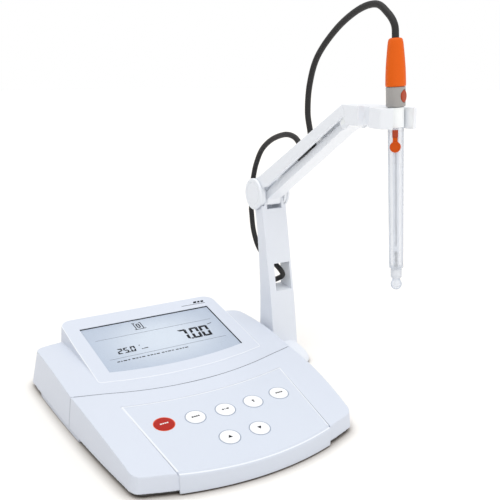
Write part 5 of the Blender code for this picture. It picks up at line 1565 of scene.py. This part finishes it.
shipped_blend(sweep("cable_loop_rising", up_pts[:half + 1], CABLE_R, CABLEM), "upper_arm_body", "head_body",
              (113, 4, 200), (110.8, -28.0, 281.0), "cable", "cable_loop_upper")
shipped_blend(sweep("cable_loop_falling", up_pts[half:], CABLE_R, CABLEM), "head_body", "electrode_body",
              (110.8, -28.0, 281.0), (108.8, -86.0, 289.0), "cable")

# ============================================================= carried-over nodes
MATS = {"key_mat": SILI, "ribbon_cable": SILI, "key_board": PCB, "lcd_board": PCB, "main_board": PCB, "lcd_module": GREYM}
for name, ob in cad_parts.items():
    o = ob if hasattr(ob, "data") else bpy.data.objects.get(name)
    if o is None or o.hide_render:
        continue
    m = MATS.get(name)
    if m is None:
        m = STEEL if ("screw" in name or "pin" in name or "bracket" in name) else ARMW
    o.data.materials.clear()
    o.data.materials.append(m)
    for s_ in o.material_slots:
        s_.material = m

# ================================================================ floor and light
fm = bpy.data.materials.new("floor_pale")
nt, b = nodes_of(fm)
b.inputs["Roughness"].default_value = 0.85
b.inputs["Specular IOR Level"].default_value = 0.1
vec = coords(nt)
hs = add(nt, "ShaderNodeHueSaturation")
hs.inputs["Color"].default_value = (0.955, 0.93, 0.895, 1)
nt.links.new(remap(nt, noise_of(nt, vec, 8.0), 0.995, 1.005), hs.inputs["Value"])
# painted brown contact shadow close under the case's edge, from an ambient-occlusion mask
ao = add(nt, "ShaderNodeAmbientOcclusion")
ao.samples = 8
ao.inputs["Distance"].default_value = 0.012
r = add(nt, "ShaderNodeMapRange")
r.inputs["From Min"].default_value = 0.12
r.inputs["From Max"].default_value = 0.88
nt.links.new(ao.outputs["AO"], r.inputs["Value"])
mx = add(nt, "ShaderNodeMix", data_type='RGBA')
mx.inputs["A"].default_value = (0.20, 0.16, 0.13, 1)
nt.links.new(r.outputs["Result"], mx.inputs["Factor"])
nt.links.new(hs.outputs["Color"], mx.inputs["B"])
nt.links.new(mx.outputs["Result"], b.inputs["Base Color"])
bm = bmesh.new()
N = 48
c0 = bm.verts.new((0, 0, -0.0002))
ring = [bm.verts.new((6 * math.cos(2 * math.pi * k / N), 6 * math.sin(2 * math.pi * k / N), -0.0002)) for k in range(N)]
for k in range(N):
    bm.faces.new((c0, ring[k], ring[(k + 1) % N]))
me = bpy.data.meshes.new("floor")
bm.to_mesh(me)
bm.free()
floor = bpy.data.objects.new("floor", me)
bpy.context.scene.collection.objects.link(floor)
floor.data.materials.append(fm)
floor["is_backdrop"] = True

# dark card standing at the left, outside the view, that shades the left-hand walls
bm = bmesh.new()
q = [bm.verts.new(p) for p in ((-0.66, -0.55, 0.0), (-0.66, 0.75, 0.0), (-0.66, 0.75, 0.22), (-0.66, -0.55, 0.22))]
bm.faces.new(q)
me = bpy.data.meshes.new("flag_left")
bm.to_mesh(me)
bm.free()
flag = bpy.data.objects.new("flag_left", me)
bpy.context.scene.collection.objects.link(flag)
flag.data.materials.append(DARK_SHADE)
flag.visible_camera = False
flag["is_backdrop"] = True

world = bpy.data.worlds.new("studio")
bpy.context.scene.world = world
world.use_nodes = True
wn = world.node_tree
bg = wn.nodes["Background"]
bg.inputs["Color"].default_value = (0.985, 0.99, 1.0, 1)
bg.inputs["Strength"].default_value = 0.88
seen = add(wn, "ShaderNodeBackground")
seen.inputs["Color"].default_value = (1.0, 1.0, 1.0, 1)
seen.inputs["Strength"].default_value = 1.0
lp = add(wn, "ShaderNodeLightPath")
wm = add(wn, "ShaderNodeMixShader")
wn.links.new(lp.outputs["Is Camera Ray"], wm.inputs["Fac"])
wn.links.new(bg.outputs["Background"], wm.inputs[1])
wn.links.new(seen.outputs["Background"], wm.inputs[2])
wn.links.new(wm.outputs["Shader"], wn.nodes["World Output"].inputs["Surface"])


def sun(name, toward, strength, angle, color=(1, 1, 1)):
    """Soft distant light; toward points from the object to the light."""
    l = bpy.data.lights.new(name, 'SUN')
    l.energy, l.angle, l.color = strength, math.radians(angle), color
    o = bpy.data.objects.new(name, l)
    bpy.context.scene.collection.objects.link(o)
    o.rotation_euler = (-Vector(toward)).to_track_quat('-Z', 'Y').to_euler()
    return o


sun("key_light", (-0.12, -0.12, 1.0), 1.05, 60.0, (1.0, 0.99, 0.97))

cam_d = bpy.data.cameras.new("cam")
cam_d.sensor_width = 36.0
cam_d.lens = 49.9
cam = bpy.data.objects.new("cam", cam_d)
bpy.context.scene.collection.objects.link(cam)
cam.location = Vector((-0.205565, -0.453453, 0.259390)) + OFF
cam.rotation_euler = (math.radians(90.0 - 15.32), 0.0, math.radians(-29.87))
cam_d.clip_start, cam_d.clip_end = 0.01, 50.0
bpy.context.scene.camera = cam
bpy.context.scene.view_settings.view_transform = 'Standard'
bpy.context.scene.view_settings.look = 'None'

lo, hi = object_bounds()
